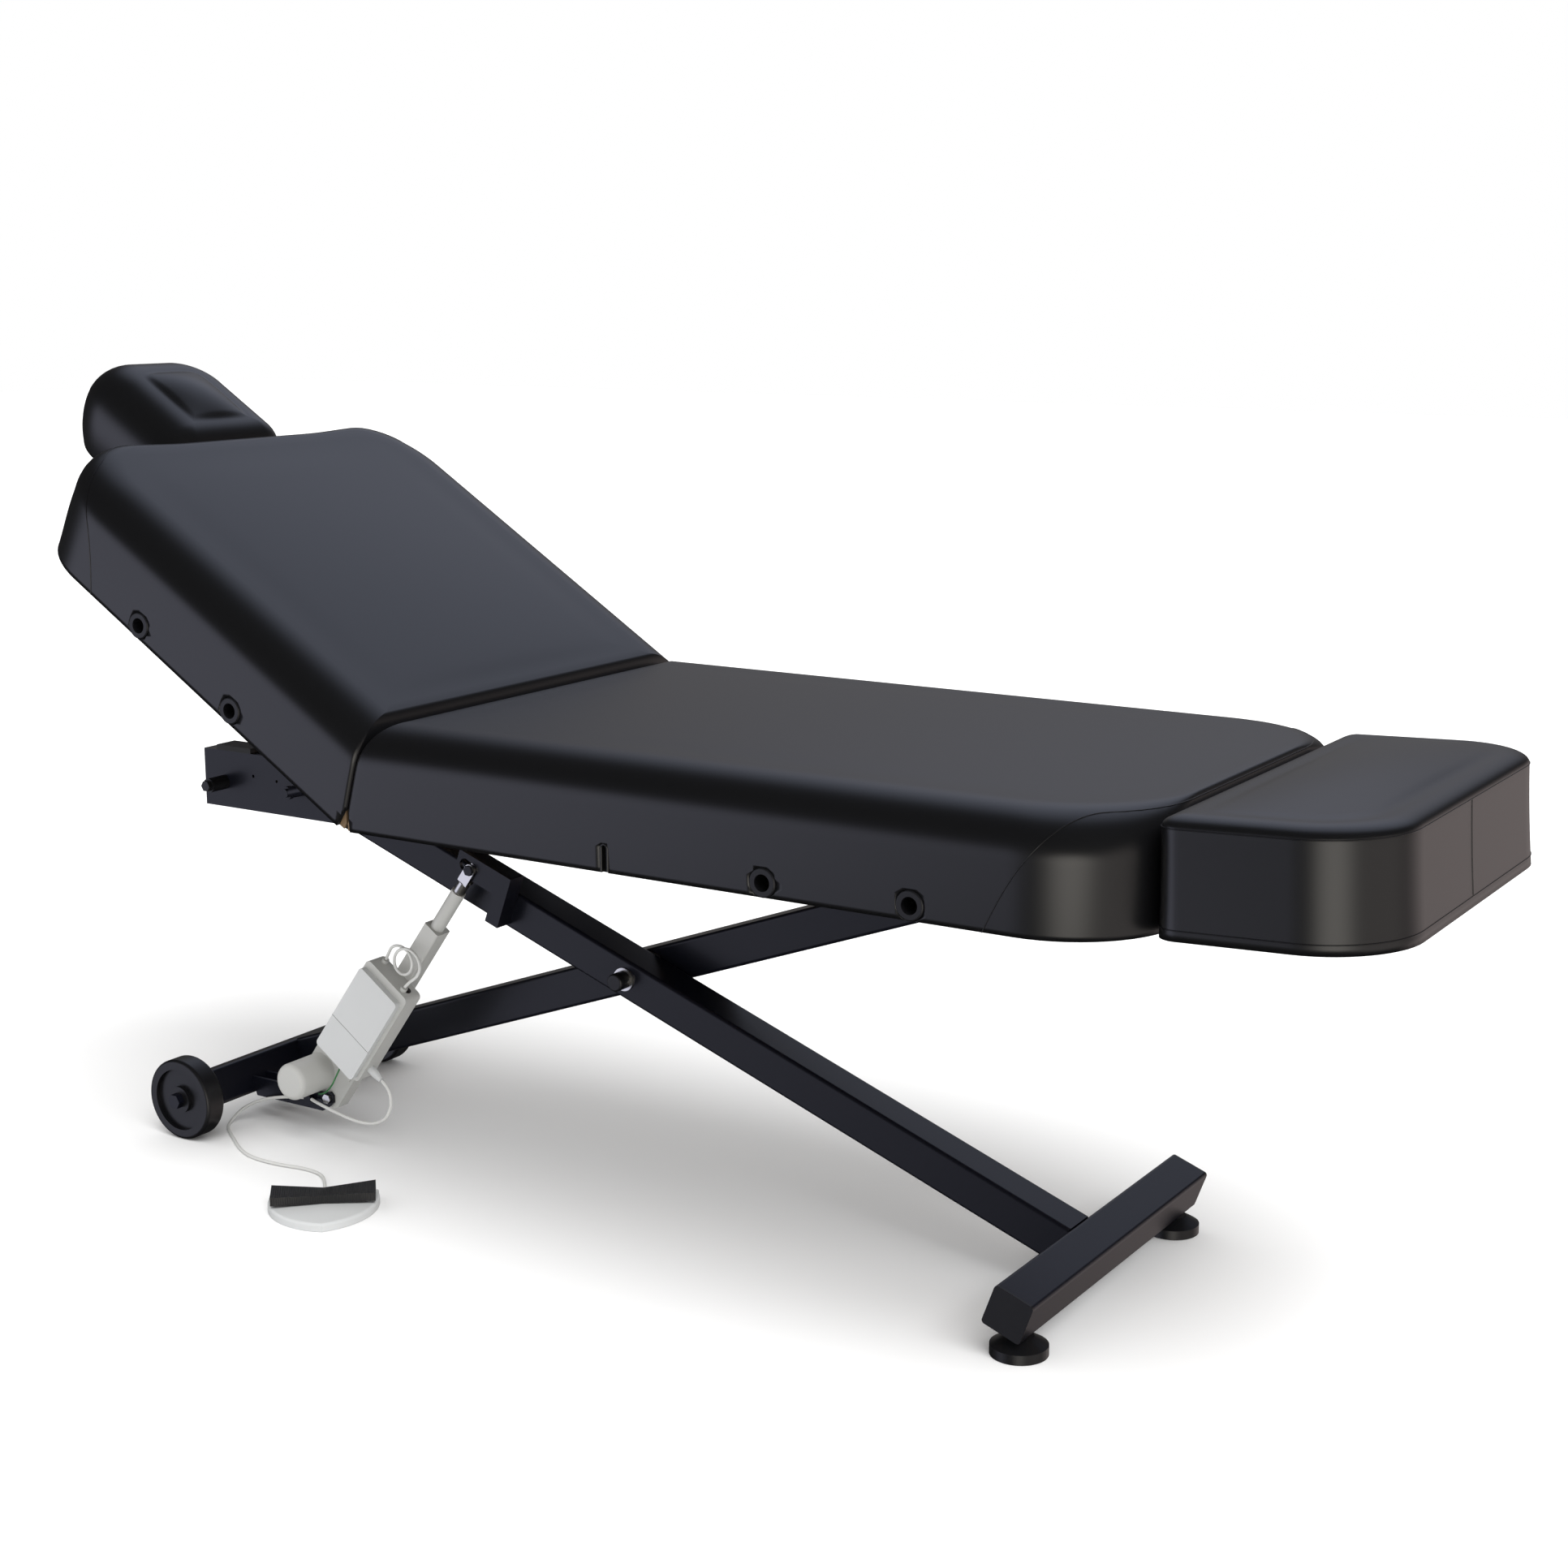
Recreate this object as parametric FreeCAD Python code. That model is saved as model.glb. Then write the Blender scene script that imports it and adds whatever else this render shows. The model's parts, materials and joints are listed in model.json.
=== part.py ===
import FreeCAD, Part
import os
from math import asin, atan2, cos, degrees, hypot, pi, radians, sin, tan

# Electric treatment chair: an upholstered seat, tilting backrest, headrest and footrest on a
# steel scissor lift that a linear motor opens. Millimetres, +Z up, +X towards the foot end.
# The origin lies on the floor below the scissor pivot, midway between the two sides.

# Driving dimensions of the whole chair
upholstery_width = 762.0
seat_length = 1158.0
seat_height = 725.0
cushion_depth = 147.0
backrest_length = 695.0
backrest_angle = 32.0
backrest_top_angle = 60.0
lower_leg = 775.0
upper_leg = 683.0
hinge_setback = 237.5
rail_axis_drop = 15.83

# Fits and overruns shared by all pieces
overrun = 60.0
running_gap = 0.05
seat_gap = 0.2
soft_gap = 0.4

# Legs, foot bar and wheel bar
tube_height = 57.0
leg_width = 60.0
leg_spacing = 8.0
tube_wall = 3.0
tube_corner = 5.0
leg_overhang = 26.0
foot_bar_length = 545.0
cap_thickness = 4.0
cap_plug = 14.0
wheel_bar_length = 402.0

# Levelling feet
foot_spread = 475.0
foot_radius = 37.5
foot_height = 24.0
foot_rim = 13.0
foot_crown_radius = 19.0
stem_radius = 8.0
eye_radius = 14.0
eye_width = 22.0
swivel_pin_radius = 5.0
cheek_thickness = 5.0
stem_slot_back = 7.0
stem_slot_front = 24.0

# Scissor pivot
pivot_radius = 10.0
pivot_washer_radius = 17.0
pivot_washer_thickness = 3.0
pivot_cap_radius = 13.0
pivot_cap_length = 22.0
pivot_nut_radius = 16.0
pivot_nut_length = 15.0
spacer_radius = 25.0

# Wheels
wheel_radius = 63.5
wheel_width = 35.0
tyre_depth = 15.0
wheel_axle_radius = 8.0
wheel_plug_length = 36.0
wheel_washer = 4.8
wheel_nut_radius = 12.0
wheel_nut_length = 11.0
hub_dish = 7.0
hub_boss_radius = 21.0
hub_rim = 8.0

# Rails under the seat
rail_half_spread = 150.0
rail_height = 88.0
rail_flange = 38.0
rail_wall = 4.0
rail_head_reach = 492.0
rail_foot_reach = 960.0
roller_clearance = 0.5
roller_width = 26.0
roller_side_gap = 5.5
axle_collar = 5.0
axle_collar_radius = 15.0
cross_bar_width = 40.0
cross_bar_shares = (0.11, 0.47, 0.80)
bumper_length = 70.0
bumper_thickness = 8.0
bumper_share = 0.6187
stop_bolt_radius = 5.0
stop_sleeve_radius = 11.0
stop_sleeve_length = 34.0
stop_head_length = 7.0
stop_bolt_inset = 40.0
stop_bolt_drop = 5.5
rail_hole_radius = 2.5
rail_hole_insets = (101.0, 149.0)
rail_hole_rises = (10.0, 7.0)

# Upholstery
skirt = 9.0
deck_thickness = 10.0
frame_height = 64.0
frame_wall = 22.0
foot_corner_radius = 140.0
head_corner_radius = 118.0
hinge_rise = 10.0
mitre_margin_angle = 1.0
frame_gap = 1.0
crown_shares = (0.0, 0.42, 0.74, 0.90, 1.0)
crown_insets = (2.5, 0.0, 3.0, 11.0, 34.0)
footrest_insets = (0.6, 0.0, 0.3, 1.4, 8.0)
headrest_insets = (12.0, 0.0, 7.0, 22.0, 52.0)
tight_corner = 6.0
notch_width = 20.0
notch_height = 34.0
slit_width = 10.0
slit_height = 37.0
slit_place = 439.0
slat_width = 70.0

# Accessory ports along both sides
port_height = 19.0
port_radius = 11.0
port_tube_wall = 2.5
port_tube_length = 78.0
grommet_radius = 19.0
grommet_seat = 4.0
grommet_thickness = 4.5
seat_port_places = (677.0, 882.0)
backrest_port_places = (245.0, 446.0)

# Backrest hinge
leaf_thickness = 4.0
leaf_height = 22.0
leaf_length = 150.0
leaf_inner = 20.0
hinge_pin_radius = 5.0
hinge_pin_head_radius = 8.0
hinge_pin_head = 4.0

# Gas struts of the backrest
strut_eye_reach = 305.0
strut_eye_drop = 29.0
strut_arm = 60.0
strut_rise = 12.0
strut_offset = 166.0
strut_radius = 9.0
strut_rod_radius = 4.0
strut_eye_radius = 10.0
strut_eye_width = 8.0
strut_pin_radius = 4.0
strut_body_share = 0.62
strut_slack = 5.0
strut_lug_thickness = 5.0
strut_lug_half = 23.0
strut_window_half = 14.0
strut_window_rim = 6.0
strut_slat_near = 50.0
strut_slat_far = 90.0
strut_slat_low = 30.0

# Headrest and footrest
headrest_length = 260.0
headrest_width = 262.0
headrest_depth = 140.0
headrest_drop = 4.0
headrest_gap = 3.0
headrest_corner = 92.0
footrest_length = 272.0
footrest_width = 624.0
footrest_depth = 131.0
footrest_rise = 5.0
footrest_gap = 5.0
footrest_tilt = 1.8
footrest_corner = 112.0
pad_inner_corner = 26.0
pad_frame_height = 57.0
pad_deck = 10.0
pad_rib = 20.0
post_radius = 11.0
post_height = 28.0
post_reach = 160.0
socket_wall = 3.0
headrest_post_spread = 140.0
footrest_post_spread = 380.0

# Lift motor and its brackets
motor_plane = 92.0
rear_pin_ahead = 187.76
rear_pin_drop = 1.5
front_pin_back = 283.0
front_pin_rise = 40.5
motor_pin_radius = 5.0
pin_head_radius = 8.0
pin_head = 4.0
bracket_plate = 5.0
bracket_side_gap = 0.5
bracket_eye_radius = 11.0
bracket_drop = 22.0
lug_plate = 6.0
lug_hole_radius = 9.5
lug_hole_shift = 13.5
lug_hole_heading = 152.0
lug_back = 29.0
lug_top = 20.0
lug_low = 16.0
lug_chamfer = 8.0
lug_foot_width = 24.0
lug_foot = 21.0
gusset_plate = 4.0
bracket_back = 212.0
housing_tail = 10.0
housing_end = 87.0
housing_width = 24.0
housing_inner_side = 20.0
housing_outer_side = 66.0
housing_corner = 9.0
outer_tube_half = 15.0
outer_tube_wall = 3.0
outer_tube_start = 52.0
outer_tube_share = 0.7566
motor_along = 23.0
motor_side = 38.0
motor_radius = 29.0
motor_length = 71.0
motor_cap_round = 9.0
rod_radius = 11.0
rod_start = 192.0
fork_base_length = 20.0
fork_prong_length = 26.0
fork_prong = 4.7
fork_gap = 0.3
fork_half_width = 9.0
box_start = 94.0
box_end = 275.0
box_low = -44.0
box_high = 48.0
box_base_depth = 33.0
box_corner = 8.0
lid_start = 96.0
lid_end = 262.0
lid_low = -38.0
lid_high = 47.0
lid_depth = 10.0
lid_corner = 6.0
plug_along = 120.0
plug_radius = 6.5
plug_length = 12.0
plug_relief_length = 13.0
plug_in_base = 18.0
plug_seat = 8.0
gland_radius = 5.5
gland_length = 6.0

# Foot switch
switch_ahead = 182.0
switch_y = -318.0
switch_turn = 41.0
switch_half = 78.5
switch_front = 119.0
switch_back = 8.0
switch_base = 12.0
switch_round = 4.0
rocker_half_length = 74.5
rocker_half_depth = 26.0
rocker_rise = 12.0
rocker_gap = 1.0
rocker_waist_share = 0.62
rocker_lift = 4.0
rocker_keel_lift = 3.5
rocker_pin_cover = 4.0
rocker_pin_radius = 3.0
rocker_post = 8.0
relief_radius = 6.0
relief_length = 16.0
relief_height = 6.5

# Cords
switch_cord_radius = 2.5
motor_cord_radius = 2.3
earth_wire_radius = 1.25
floor_gap = 0.1
cord_bend_share = 0.45
clip_back = 42.0
clip_z = 58.0
clip_length = 14.0
clip_height = 11.0
clip_reach = 9.5
coil_radius = 21.0
coil_slide = 31.0
coil_rise = 34.0
coil_side = 2.0
coil_depth = 13.5
coil_lead = 10.5
coil_exit_sides = (-24.0, 33.5)
coil_splay = 1.0
coil_corners = 13
coil_samples = 400
coil_near_share = 12.0
upper_cord_route = ((135.8, -125.0, 112.2), (143.5, -125.0, 99.5), (144.5, -125.0, 83.0),
                    (138.5, -125.0, 66.0), (124.5, -125.0, 52.5), (103.5, -124.5, 44.5),
                    (77.5, -124.0, 42.5), (50.5, -123.5, 45.0), (23.5, -122.5, 49.5), (-3.0, -121.5, 54.5))
lower_cord_route = ((-66.5, -115.5, 54.5), (-95.5, -117.0, 49.0), (-123.5, -118.5, 41.5),
                    (-149.5, -121.0, 31.0), (-170.5, -128.0, 17.0))
floor_cord_route = ((-173.5, -149.0), (-156.5, -172.0), (-121.5, -196.0), (-76.5, -228.0), (-35.5, -247.0),
                    (20.5, -249.0), (68.5, -239.0), (106.5, -243.0))
switch_cord_landing = (139.5, -269.5, 5.0)
earth_wire_route = ((51.0, -142.0, 118.0), (40.0, -143.0, 98.0), (21.0, -136.0, 83.0), (-0.5, -125.0, 73.5))
earth_start_side = -2.0
earth_start_depth = 6.0
earth_end = (-17.0, -111.0, 67.0)
cord_end_gap = 0.8

# Places that follow from the sizes above
half_width = upholstery_width / 2
seat_bottom = seat_height - cushion_depth
hinge_x = -hinge_setback
hinge_z = seat_bottom + hinge_rise
foot_x = hinge_x + seat_length
lean = asin((seat_bottom - rail_axis_drop - wheel_radius) / (lower_leg + upper_leg))
leg_angle = degrees(lean)
pivot_z = wheel_radius + lower_leg * sin(lean)
wheel_x = -lower_leg * cos(lean)
feet_x = lower_leg * cos(lean)
top_z = pivot_z + upper_leg * sin(lean)
roller_x = -upper_leg * cos(lean)
top_hinge_x = upper_leg * cos(lean)
rail_bottom = top_z - rail_height / 2
rail_top = top_z + rail_height / 2
deck_bottom = seat_bottom + frame_height
deck_top = deck_bottom + deck_thickness
leg_a_near = -(leg_spacing / 2 + leg_width)
leg_a_far = -leg_spacing / 2
leg_b_near = leg_spacing / 2
leg_b_far = leg_spacing / 2 + leg_width
port_z = seat_bottom + port_height
post_z = seat_bottom + post_height
mitre_lean = backrest_top_angle / 2 + mitre_margin_angle
crease_lean = backrest_angle / 2


def vec(x, y, z):
    return FreeCAD.Vector(x, y, z)


across = vec(0, 1, 0)
along = vec(1, 0, 0)
upright = vec(0, 0, 1)


def block(x0, x1, y0, y1, z0, z1):
    """Box between two corners."""
    return Part.makeBox(x1 - x0, y1 - y0, z1 - z0, vec(x0, y0, z0))


def rod_x(x0, x1, y, z, radius):
    return Part.makeCylinder(radius, x1 - x0, vec(x0, y, z), along)


def rod_y(x, z, radius, y0, y1):
    return Part.makeCylinder(radius, y1 - y0, vec(x, y0, z), across)


def rod_z(x, y, radius, z0, z1):
    return Part.makeCylinder(radius, z1 - z0, vec(x, y, z0), upright)


def ring_y(x, z, outer, inner, y0, y1):
    return rod_y(x, z, outer, y0, y1).cut(rod_y(x, z, inner, y0, y1))


def hex_y(x, z, radius, y0, y1):
    """Six-sided nut or bolt head along Y."""
    corners = [vec(x + radius * cos(k * pi / 3), y0, z + radius * sin(k * pi / 3)) for k in range(7)]
    return Part.Face(Part.makePolygon(corners)).extrude(vec(0, y1 - y0, 0))


def plate_y(points, y0, y1):
    """Flat plate in the XZ plane from its corner points."""
    corners = [vec(x, y0, z) for x, z in points]
    return Part.Face(Part.makePolygon(corners + corners[:1])).extrude(vec(0, y1 - y0, 0))


def rounded(shape, radius, direction):
    """Fillet the straight edges that run along one direction."""
    edges = []
    for edge in shape.Edges:
        ends = edge.Vertexes
        run = ends[-1].Point.sub(ends[0].Point)
        if run.Length > running_gap and abs(abs(run.normalize().dot(direction)) - 1) < 1e-6:
            edges.append(edge)
    return shape.makeFillet(radius, edges)


def tube_x(x0, x1, y0, y1, z0, z1):
    """Square steel tube along X with rounded corners."""
    outer = rounded(block(x0, x1, y0, y1, z0, z1), tube_corner, along)
    t = tube_wall
    return outer.cut(block(x0, x1, y0 + t, y1 - t, z0 + t, z1 - t))


def tube_y(x0, x1, y0, y1, z0, z1):
    """Square steel tube along Y with rounded corners."""
    outer = rounded(block(x0, x1, y0, y1, z0, z1), tube_corner, across)
    t = tube_wall
    return outer.cut(block(x0 + t, x1 - t, y0, y1, z0 + t, z1 - t))


def turned(shape, angle, x, z):
    """Copy turned about an axis along Y."""
    copy = shape.copy()
    copy.rotate(vec(x, 0, z), across, angle)
    return copy


def moved(shape, x, y, z):
    copy = shape.copy()
    copy.translate(vec(x, y, z))
    return copy


def far_side(shape):
    return shape.mirror(vec(0, 0, 0), across)


def pair(shape):
    """The near piece and its mirror image on the far side."""
    return [shape, far_side(shape)]


def on_leg_a(shape):
    """Leg A is drawn level from the pivot and leans down towards the foot end."""
    return turned(moved(shape, 0, 0, pivot_z), leg_angle, 0, pivot_z)


def on_leg_b(shape):
    """Leg B is drawn level from the pivot and leans up towards the foot end."""
    return turned(moved(shape, 0, 0, pivot_z), -leg_angle, 0, pivot_z)


def on_backrest(shape):
    """The backrest is drawn flat and raised about its hinge."""
    return turned(shape, backrest_angle, hinge_x, hinge_z)


def save(name, *shapes):
    """Write one node, as one solid or as a group of like solids."""
    flat = []
    for shape in shapes:
        flat.extend(shape if isinstance(shape, list) else [shape])
    solids = []
    for shape in flat:
        solids.extend(shape.Solids)
    whole = solids[0] if len(solids) == 1 else Part.makeCompound(solids)
    assert whole.isValid(), name
    whole.exportStep("parts/" + name + ".step")


# Upholstered forms

def plan_wire(x0, x1, half, r0, r1, z):
    """Rounded rectangle seen from above, with one radius at each end."""
    bend = 1 - cos(pi / 4)
    corners = [(x1, -half, r1, -1, 1), (x1, half, r1, -1, -1), (x0, half, r0, 1, -1), (x0, -half, r0, 1, 1)]
    arcs = []
    for k, (x, y, r, sx, sy) in enumerate(corners):
        on_x = vec(x + sx * r, y, z)
        on_y = vec(x, y + sy * r, z)
        middle = vec(x + sx * r * bend, y + sy * r * bend, z)
        first, last = (on_x, on_y) if k % 2 == 0 else (on_y, on_x)
        arcs.append((first, middle, last))
    edges = []
    for k, (first, middle, last) in enumerate(arcs):
        edges.append(Part.Arc(first, middle, last).toShape())
        edges.append(Part.LineSegment(last, arcs[(k + 1) % 4][0]).toShape())
    return Part.Wire(edges)


def cushion(x0, x1, half, r0, r1, z0, depth, insets):
    """Crowned pad: its sides draw in below and above the fullest line."""
    wires = []
    for share, inset in zip(crown_shares, insets):
        small = max(r0 - inset, tight_corner)
        large = max(r1 - inset, tight_corner)
        wires.append(plan_wire(x0 + inset, x1 - inset, half - inset, small, large, z0 + share * depth))
    return Part.makeLoft(wires, True, False)


def plan_block(x0, x1, half, r0, r1, z0, z1):
    return Part.Face(plan_wire(x0, x1, half, r0, r1, z0)).extrude(vec(0, 0, z1 - z0))


def tray(x0, x1, half, r0, r1, inset):
    """Plan sizes drawn in by one inset, for what lies inside a cushion."""
    return (x0 + inset, x1 - inset, half - inset, max(r0 - inset, tight_corner), max(r1 - inset, tight_corner))


def half_space(angle, gap):
    """Everything on the foot side of a plane through the backrest hinge that leans by angle."""
    reach = seat_length + overrun
    body = block(hinge_x + gap, hinge_x + reach, -half_width - overrun, half_width + overrun,
                 hinge_z - reach, hinge_z + reach)
    return turned(body, angle, hinge_x, hinge_z)


def notch():
    """Arched opening at the hinge, cut through both skirts, as seen with the backrest raised."""
    radius = notch_width / 2
    straight = notch_height - radius
    low = seat_bottom - overrun
    body = block(hinge_x - radius, hinge_x + radius, -half_width - overrun, half_width + overrun,
                 low, seat_bottom + straight)
    arch = rod_y(hinge_x, seat_bottom + straight, radius, -half_width - overrun, half_width + overrun)
    opening = body.fuse(arch)
    inside = half_width - skirt - running_gap
    middle = block(hinge_x - overrun, hinge_x + overrun, -inside, inside, low, hinge_z + cushion_depth)
    return turned(opening.cut(middle), crease_lean, hinge_x, seat_bottom)


def port_cuts(places, radius, start, stop):
    """Round cuts along Y at the accessory ports of one side, with their far twins."""
    cuts = []
    for place in places:
        cuts.extend(pair(rod_y(place, port_z, radius, start, stop)))
    return cuts


def port(place):
    """Flanged sleeve of one accessory port: a ring outside the skirt and a tube through the frame."""
    face = -half_width + grommet_seat
    body = rod_y(place, port_z, grommet_radius, face - grommet_thickness, face)
    lip = face - grommet_thickness
    rim = [e for e in body.Edges if abs(e.BoundBox.YMin - lip) < running_gap and e.Closed]
    body = body.makeFillet(grommet_thickness / 2, rim)
    body = body.fuse(rod_y(place, port_z, port_radius + port_tube_wall, face, face + port_tube_length))
    return body.cut(rod_y(place, port_z, port_radius, face - overrun, face + port_tube_length))


seat_ports = [hinge_x + place for place in seat_port_places]
backrest_ports = [hinge_x - place for place in backrest_port_places]
port_outer = port_radius + port_tube_wall
seat_plan = (hinge_x - overrun, foot_x, half_width, tight_corner, foot_corner_radius)
backrest_plan = (hinge_x - backrest_length, hinge_x + overrun, half_width, head_corner_radius, tight_corner)
mitre_side = half_space(mitre_lean, running_gap)
crease_side = half_space(crease_lean, soft_gap / 2)
seat_frame_side = half_space(mitre_lean, frame_gap).common(half_space(0, frame_gap))


def flat_mitre(gap):
    """The backrest's own side of the mitre, in its flat place: the seat's side turned about."""
    return half_space(mitre_lean, gap).mirror(vec(hinge_x, 0, hinge_z), along)


def flat_frame_side():
    """The backrest frame's own side of the mitre, square below the hinge."""
    return seat_frame_side.mirror(vec(hinge_x, 0, hinge_z), along)


def flat_crease(gap):
    return half_space(crease_lean, gap).mirror(vec(hinge_x, 0, hinge_z), along)


def socket_tube(x0, x1, y):
    """Steel sleeve that takes one post of the headrest or footrest."""
    return rod_x(x0, x1, y, post_z, post_radius + running_gap + socket_wall).cut(
        rod_x(x0, x1, y, post_z, post_radius + running_gap))


socket_outer = post_radius + running_gap + socket_wall
footrest_sockets_y = footrest_post_spread / 2
headrest_sockets_y = headrest_post_spread / 2


def seat_shell():
    """Seat pad with its skirts, hollow below for the wooden frame, before the hinge end is cut."""
    body = cushion(*seat_plan, seat_bottom, cushion_depth, crown_insets)
    body = body.cut(plan_block(*tray(*seat_plan, skirt), seat_bottom - overrun, deck_top + seat_gap))
    outside = -half_width - overrun
    cuts = port_cuts(seat_ports, grommet_radius + seat_gap, outside, -half_width + grommet_seat)
    cuts += port_cuts(seat_ports, port_outer + seat_gap, outside, -half_width + skirt + overrun)
    slit_x = hinge_x + slit_place
    slit = block(slit_x - slit_width / 2, slit_x + slit_width / 2, -half_width - overrun,
                 -half_width + skirt + seat_gap, seat_bottom - overrun, seat_bottom + slit_height)
    cuts += pair(slit)
    for y in (-footrest_sockets_y, footrest_sockets_y):
        cuts.append(rod_x(foot_x - overrun, foot_x + overrun, y, post_z, socket_outer + seat_gap))
    cuts.append(notch())
    for piece in cuts:
        body = body.cut(piece)
    return body


def seat_frame():
    """Wooden frame round three sides of the seat, open at the hinge end."""
    outer = plan_block(*tray(*seat_plan, skirt + seat_gap), seat_bottom, deck_bottom)
    inner = plan_block(*tray(*seat_plan, skirt + seat_gap + frame_wall), seat_bottom, deck_bottom)
    hinge_end = block(hinge_x - 2 * overrun, hinge_x, -half_width + skirt + frame_wall + seat_gap,
                      half_width - skirt - frame_wall - seat_gap, seat_bottom, deck_bottom)
    body = outer.cut(inner).cut(hinge_end).common(seat_frame_side)
    reach = -half_width + 2 * overrun
    for piece in port_cuts(seat_ports, port_outer + seat_gap, -half_width - overrun, reach):
        body = body.cut(piece)
    for y in (-footrest_sockets_y, footrest_sockets_y):
        body = body.cut(rod_x(foot_x - 2 * overrun, foot_x, y, post_z, socket_outer + seat_gap))
    return body


def seat_deck():
    plan = tray(*seat_plan, skirt + seat_gap)
    return plan_block(*plan, deck_bottom, deck_top).common(seat_frame_side)


def backrest_shell():
    """Backrest pad drawn flat, with its skirts, before the hinge end is cut."""
    body = cushion(*backrest_plan, seat_bottom, cushion_depth, crown_insets)
    body = body.cut(plan_block(*tray(*backrest_plan, skirt), seat_bottom - overrun, deck_top + seat_gap))
    outside = -half_width - overrun
    cuts = port_cuts(backrest_ports, grommet_radius + seat_gap, outside, -half_width + grommet_seat)
    cuts += port_cuts(backrest_ports, port_outer + seat_gap, outside, -half_width + skirt + overrun)
    head_x = hinge_x - backrest_length
    for y in (-headrest_sockets_y, headrest_sockets_y):
        cuts.append(rod_x(head_x - overrun, head_x + overrun, y, post_z, socket_outer + seat_gap))
    for piece in cuts:
        body = body.cut(piece)
    return body


def backrest_frame():
    """Wooden frame of the backrest drawn flat, with its two cross slats."""
    outer = plan_block(*tray(*backrest_plan, skirt + seat_gap), seat_bottom, deck_bottom)
    inner = plan_block(*tray(*backrest_plan, skirt + seat_gap + frame_wall), seat_bottom, deck_bottom)
    hinge_end = block(hinge_x, hinge_x + 2 * overrun, -half_width + skirt + frame_wall + seat_gap,
                      half_width - skirt - frame_wall - seat_gap, seat_bottom, deck_bottom)
    body = outer.cut(inner).cut(hinge_end).common(flat_frame_side())
    body = body.fuse(bumper_slat()).fuse(strut_slat()).removeSplitter()
    reach = -half_width + 2 * overrun
    for piece in port_cuts(backrest_ports, port_outer + seat_gap, -half_width - overrun, reach):
        body = body.cut(piece)
    for y in (-headrest_sockets_y, headrest_sockets_y):
        body = body.cut(rod_x(hinge_x - backrest_length, hinge_x - backrest_length + 2 * overrun, y, post_z,
                              socket_outer + seat_gap))
    return body


def backrest_deck():
    plan = tray(*backrest_plan, skirt + seat_gap)
    return plan_block(*plan, deck_bottom, deck_top).common(flat_frame_side())


def bumper_slat():
    """Cross slat that lands on the rail bumpers when the backrest lies flat."""
    middle = hinge_x - backrest_length * bumper_share
    side = half_width - skirt - frame_wall
    return block(middle - slat_width / 2, middle + slat_width / 2, -side, side,
                 rail_top + bumper_thickness + soft_gap, deck_bottom)


def strut_slat():
    """Cross slat near the hinge that carries the strut brackets."""
    side = half_width - skirt - frame_wall
    return block(hinge_x - strut_slat_far, hinge_x - strut_slat_near, -side, side,
                 hinge_z + strut_slat_low, deck_bottom)


def save_upholstery():
    whole_seat = seat_shell()
    save("seat_cushion", whole_seat.common(mitre_side))
    save("seat_crease_foam", whole_seat.common(crease_side).cut(mitre_side))
    save("seat_frame", seat_frame())
    save("seat_deck", seat_deck())
    whole_back = backrest_shell()
    mitre_part = flat_mitre(running_gap)
    cut_notch = turned(notch(), -backrest_angle, hinge_x, hinge_z)
    save("backrest_cushion", on_backrest(whole_back.common(mitre_part).cut(cut_notch)))
    wedge = whole_back.common(flat_crease(soft_gap / 2)).cut(mitre_part)
    save("backrest_crease_foam", on_backrest(wedge.cut(cut_notch)))
    save("backrest_frame", on_backrest(backrest_frame()))
    save("backrest_deck", on_backrest(backrest_deck()))
    near_seat = [port(place) for place in seat_ports]
    near_back = [port(place) for place in backrest_ports]
    save("seat_ports", near_seat, [far_side(p) for p in near_seat])
    far_back = [far_side(p) for p in near_back]
    save("backrest_ports", [on_backrest(p) for p in near_back + far_back])


# Headrest and footrest

def pad_frame(plan, z0, insets, posts_y, tilt):
    """Wooden tray inside a plug-in pad, bored for its two posts."""
    inset = skirt + insets[0] + seat_gap
    outer = plan_block(*tray(*plan, inset), z0, z0 + pad_frame_height)
    pocket = plan_block(*tray(*plan, inset + frame_wall), z0, z0 + pad_frame_height - pad_deck)
    middle = (plan[0] + plan[1]) / 2
    side = plan[2] - inset - frame_wall / 2
    half_rib = pad_rib / 2
    rib = block(middle - half_rib, middle + half_rib, -side, side, z0, z0 + pad_frame_height - pad_deck)
    body = turned(outer.cut(pocket.cut(rib)), -tilt, plan[0], z0)
    for y in posts_y:
        body = body.cut(rod_x(plan[0] - overrun, plan[1] + overrun, y, post_z, post_radius + running_gap))
    return body


def pad_cushion(plan, z0, depth, insets, posts_y, post_x0, post_x1, tilt):
    body = cushion(*plan, z0, depth, insets)
    roof = z0 + pad_frame_height + seat_gap
    body = body.cut(plan_block(*tray(*plan, skirt + insets[0]), z0 - overrun, roof))
    body = turned(body, -tilt, plan[0], z0)
    for y in posts_y:
        body = body.cut(rod_x(post_x0, post_x1, y, post_z, post_radius + seat_gap))
    return body


def save_footrest():
    x0 = foot_x + footrest_gap
    x1 = x0 + footrest_length
    plan = (x0, x1, footrest_width / 2, pad_inner_corner, footrest_corner)
    z0 = seat_bottom + footrest_rise
    posts_y = (-footrest_sockets_y, footrest_sockets_y)
    ends = (x0 - overrun, x0 + overrun)
    pad = pad_cushion(plan, z0, footrest_depth, footrest_insets, posts_y, *ends, footrest_tilt)
    save("footrest_cushion", pad)
    save("footrest_frame", pad_frame(plan, z0, footrest_insets, posts_y, footrest_tilt))
    inner = x0 - post_reach
    outer = (x0 + x1) / 2 + pad_rib / 2
    save("footrest_posts", [rod_x(inner, outer, y, post_z, post_radius) for y in posts_y])
    wall = foot_x - skirt
    save("footrest_sockets", [socket_tube(inner - seat_gap, wall, y) for y in posts_y])


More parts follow.
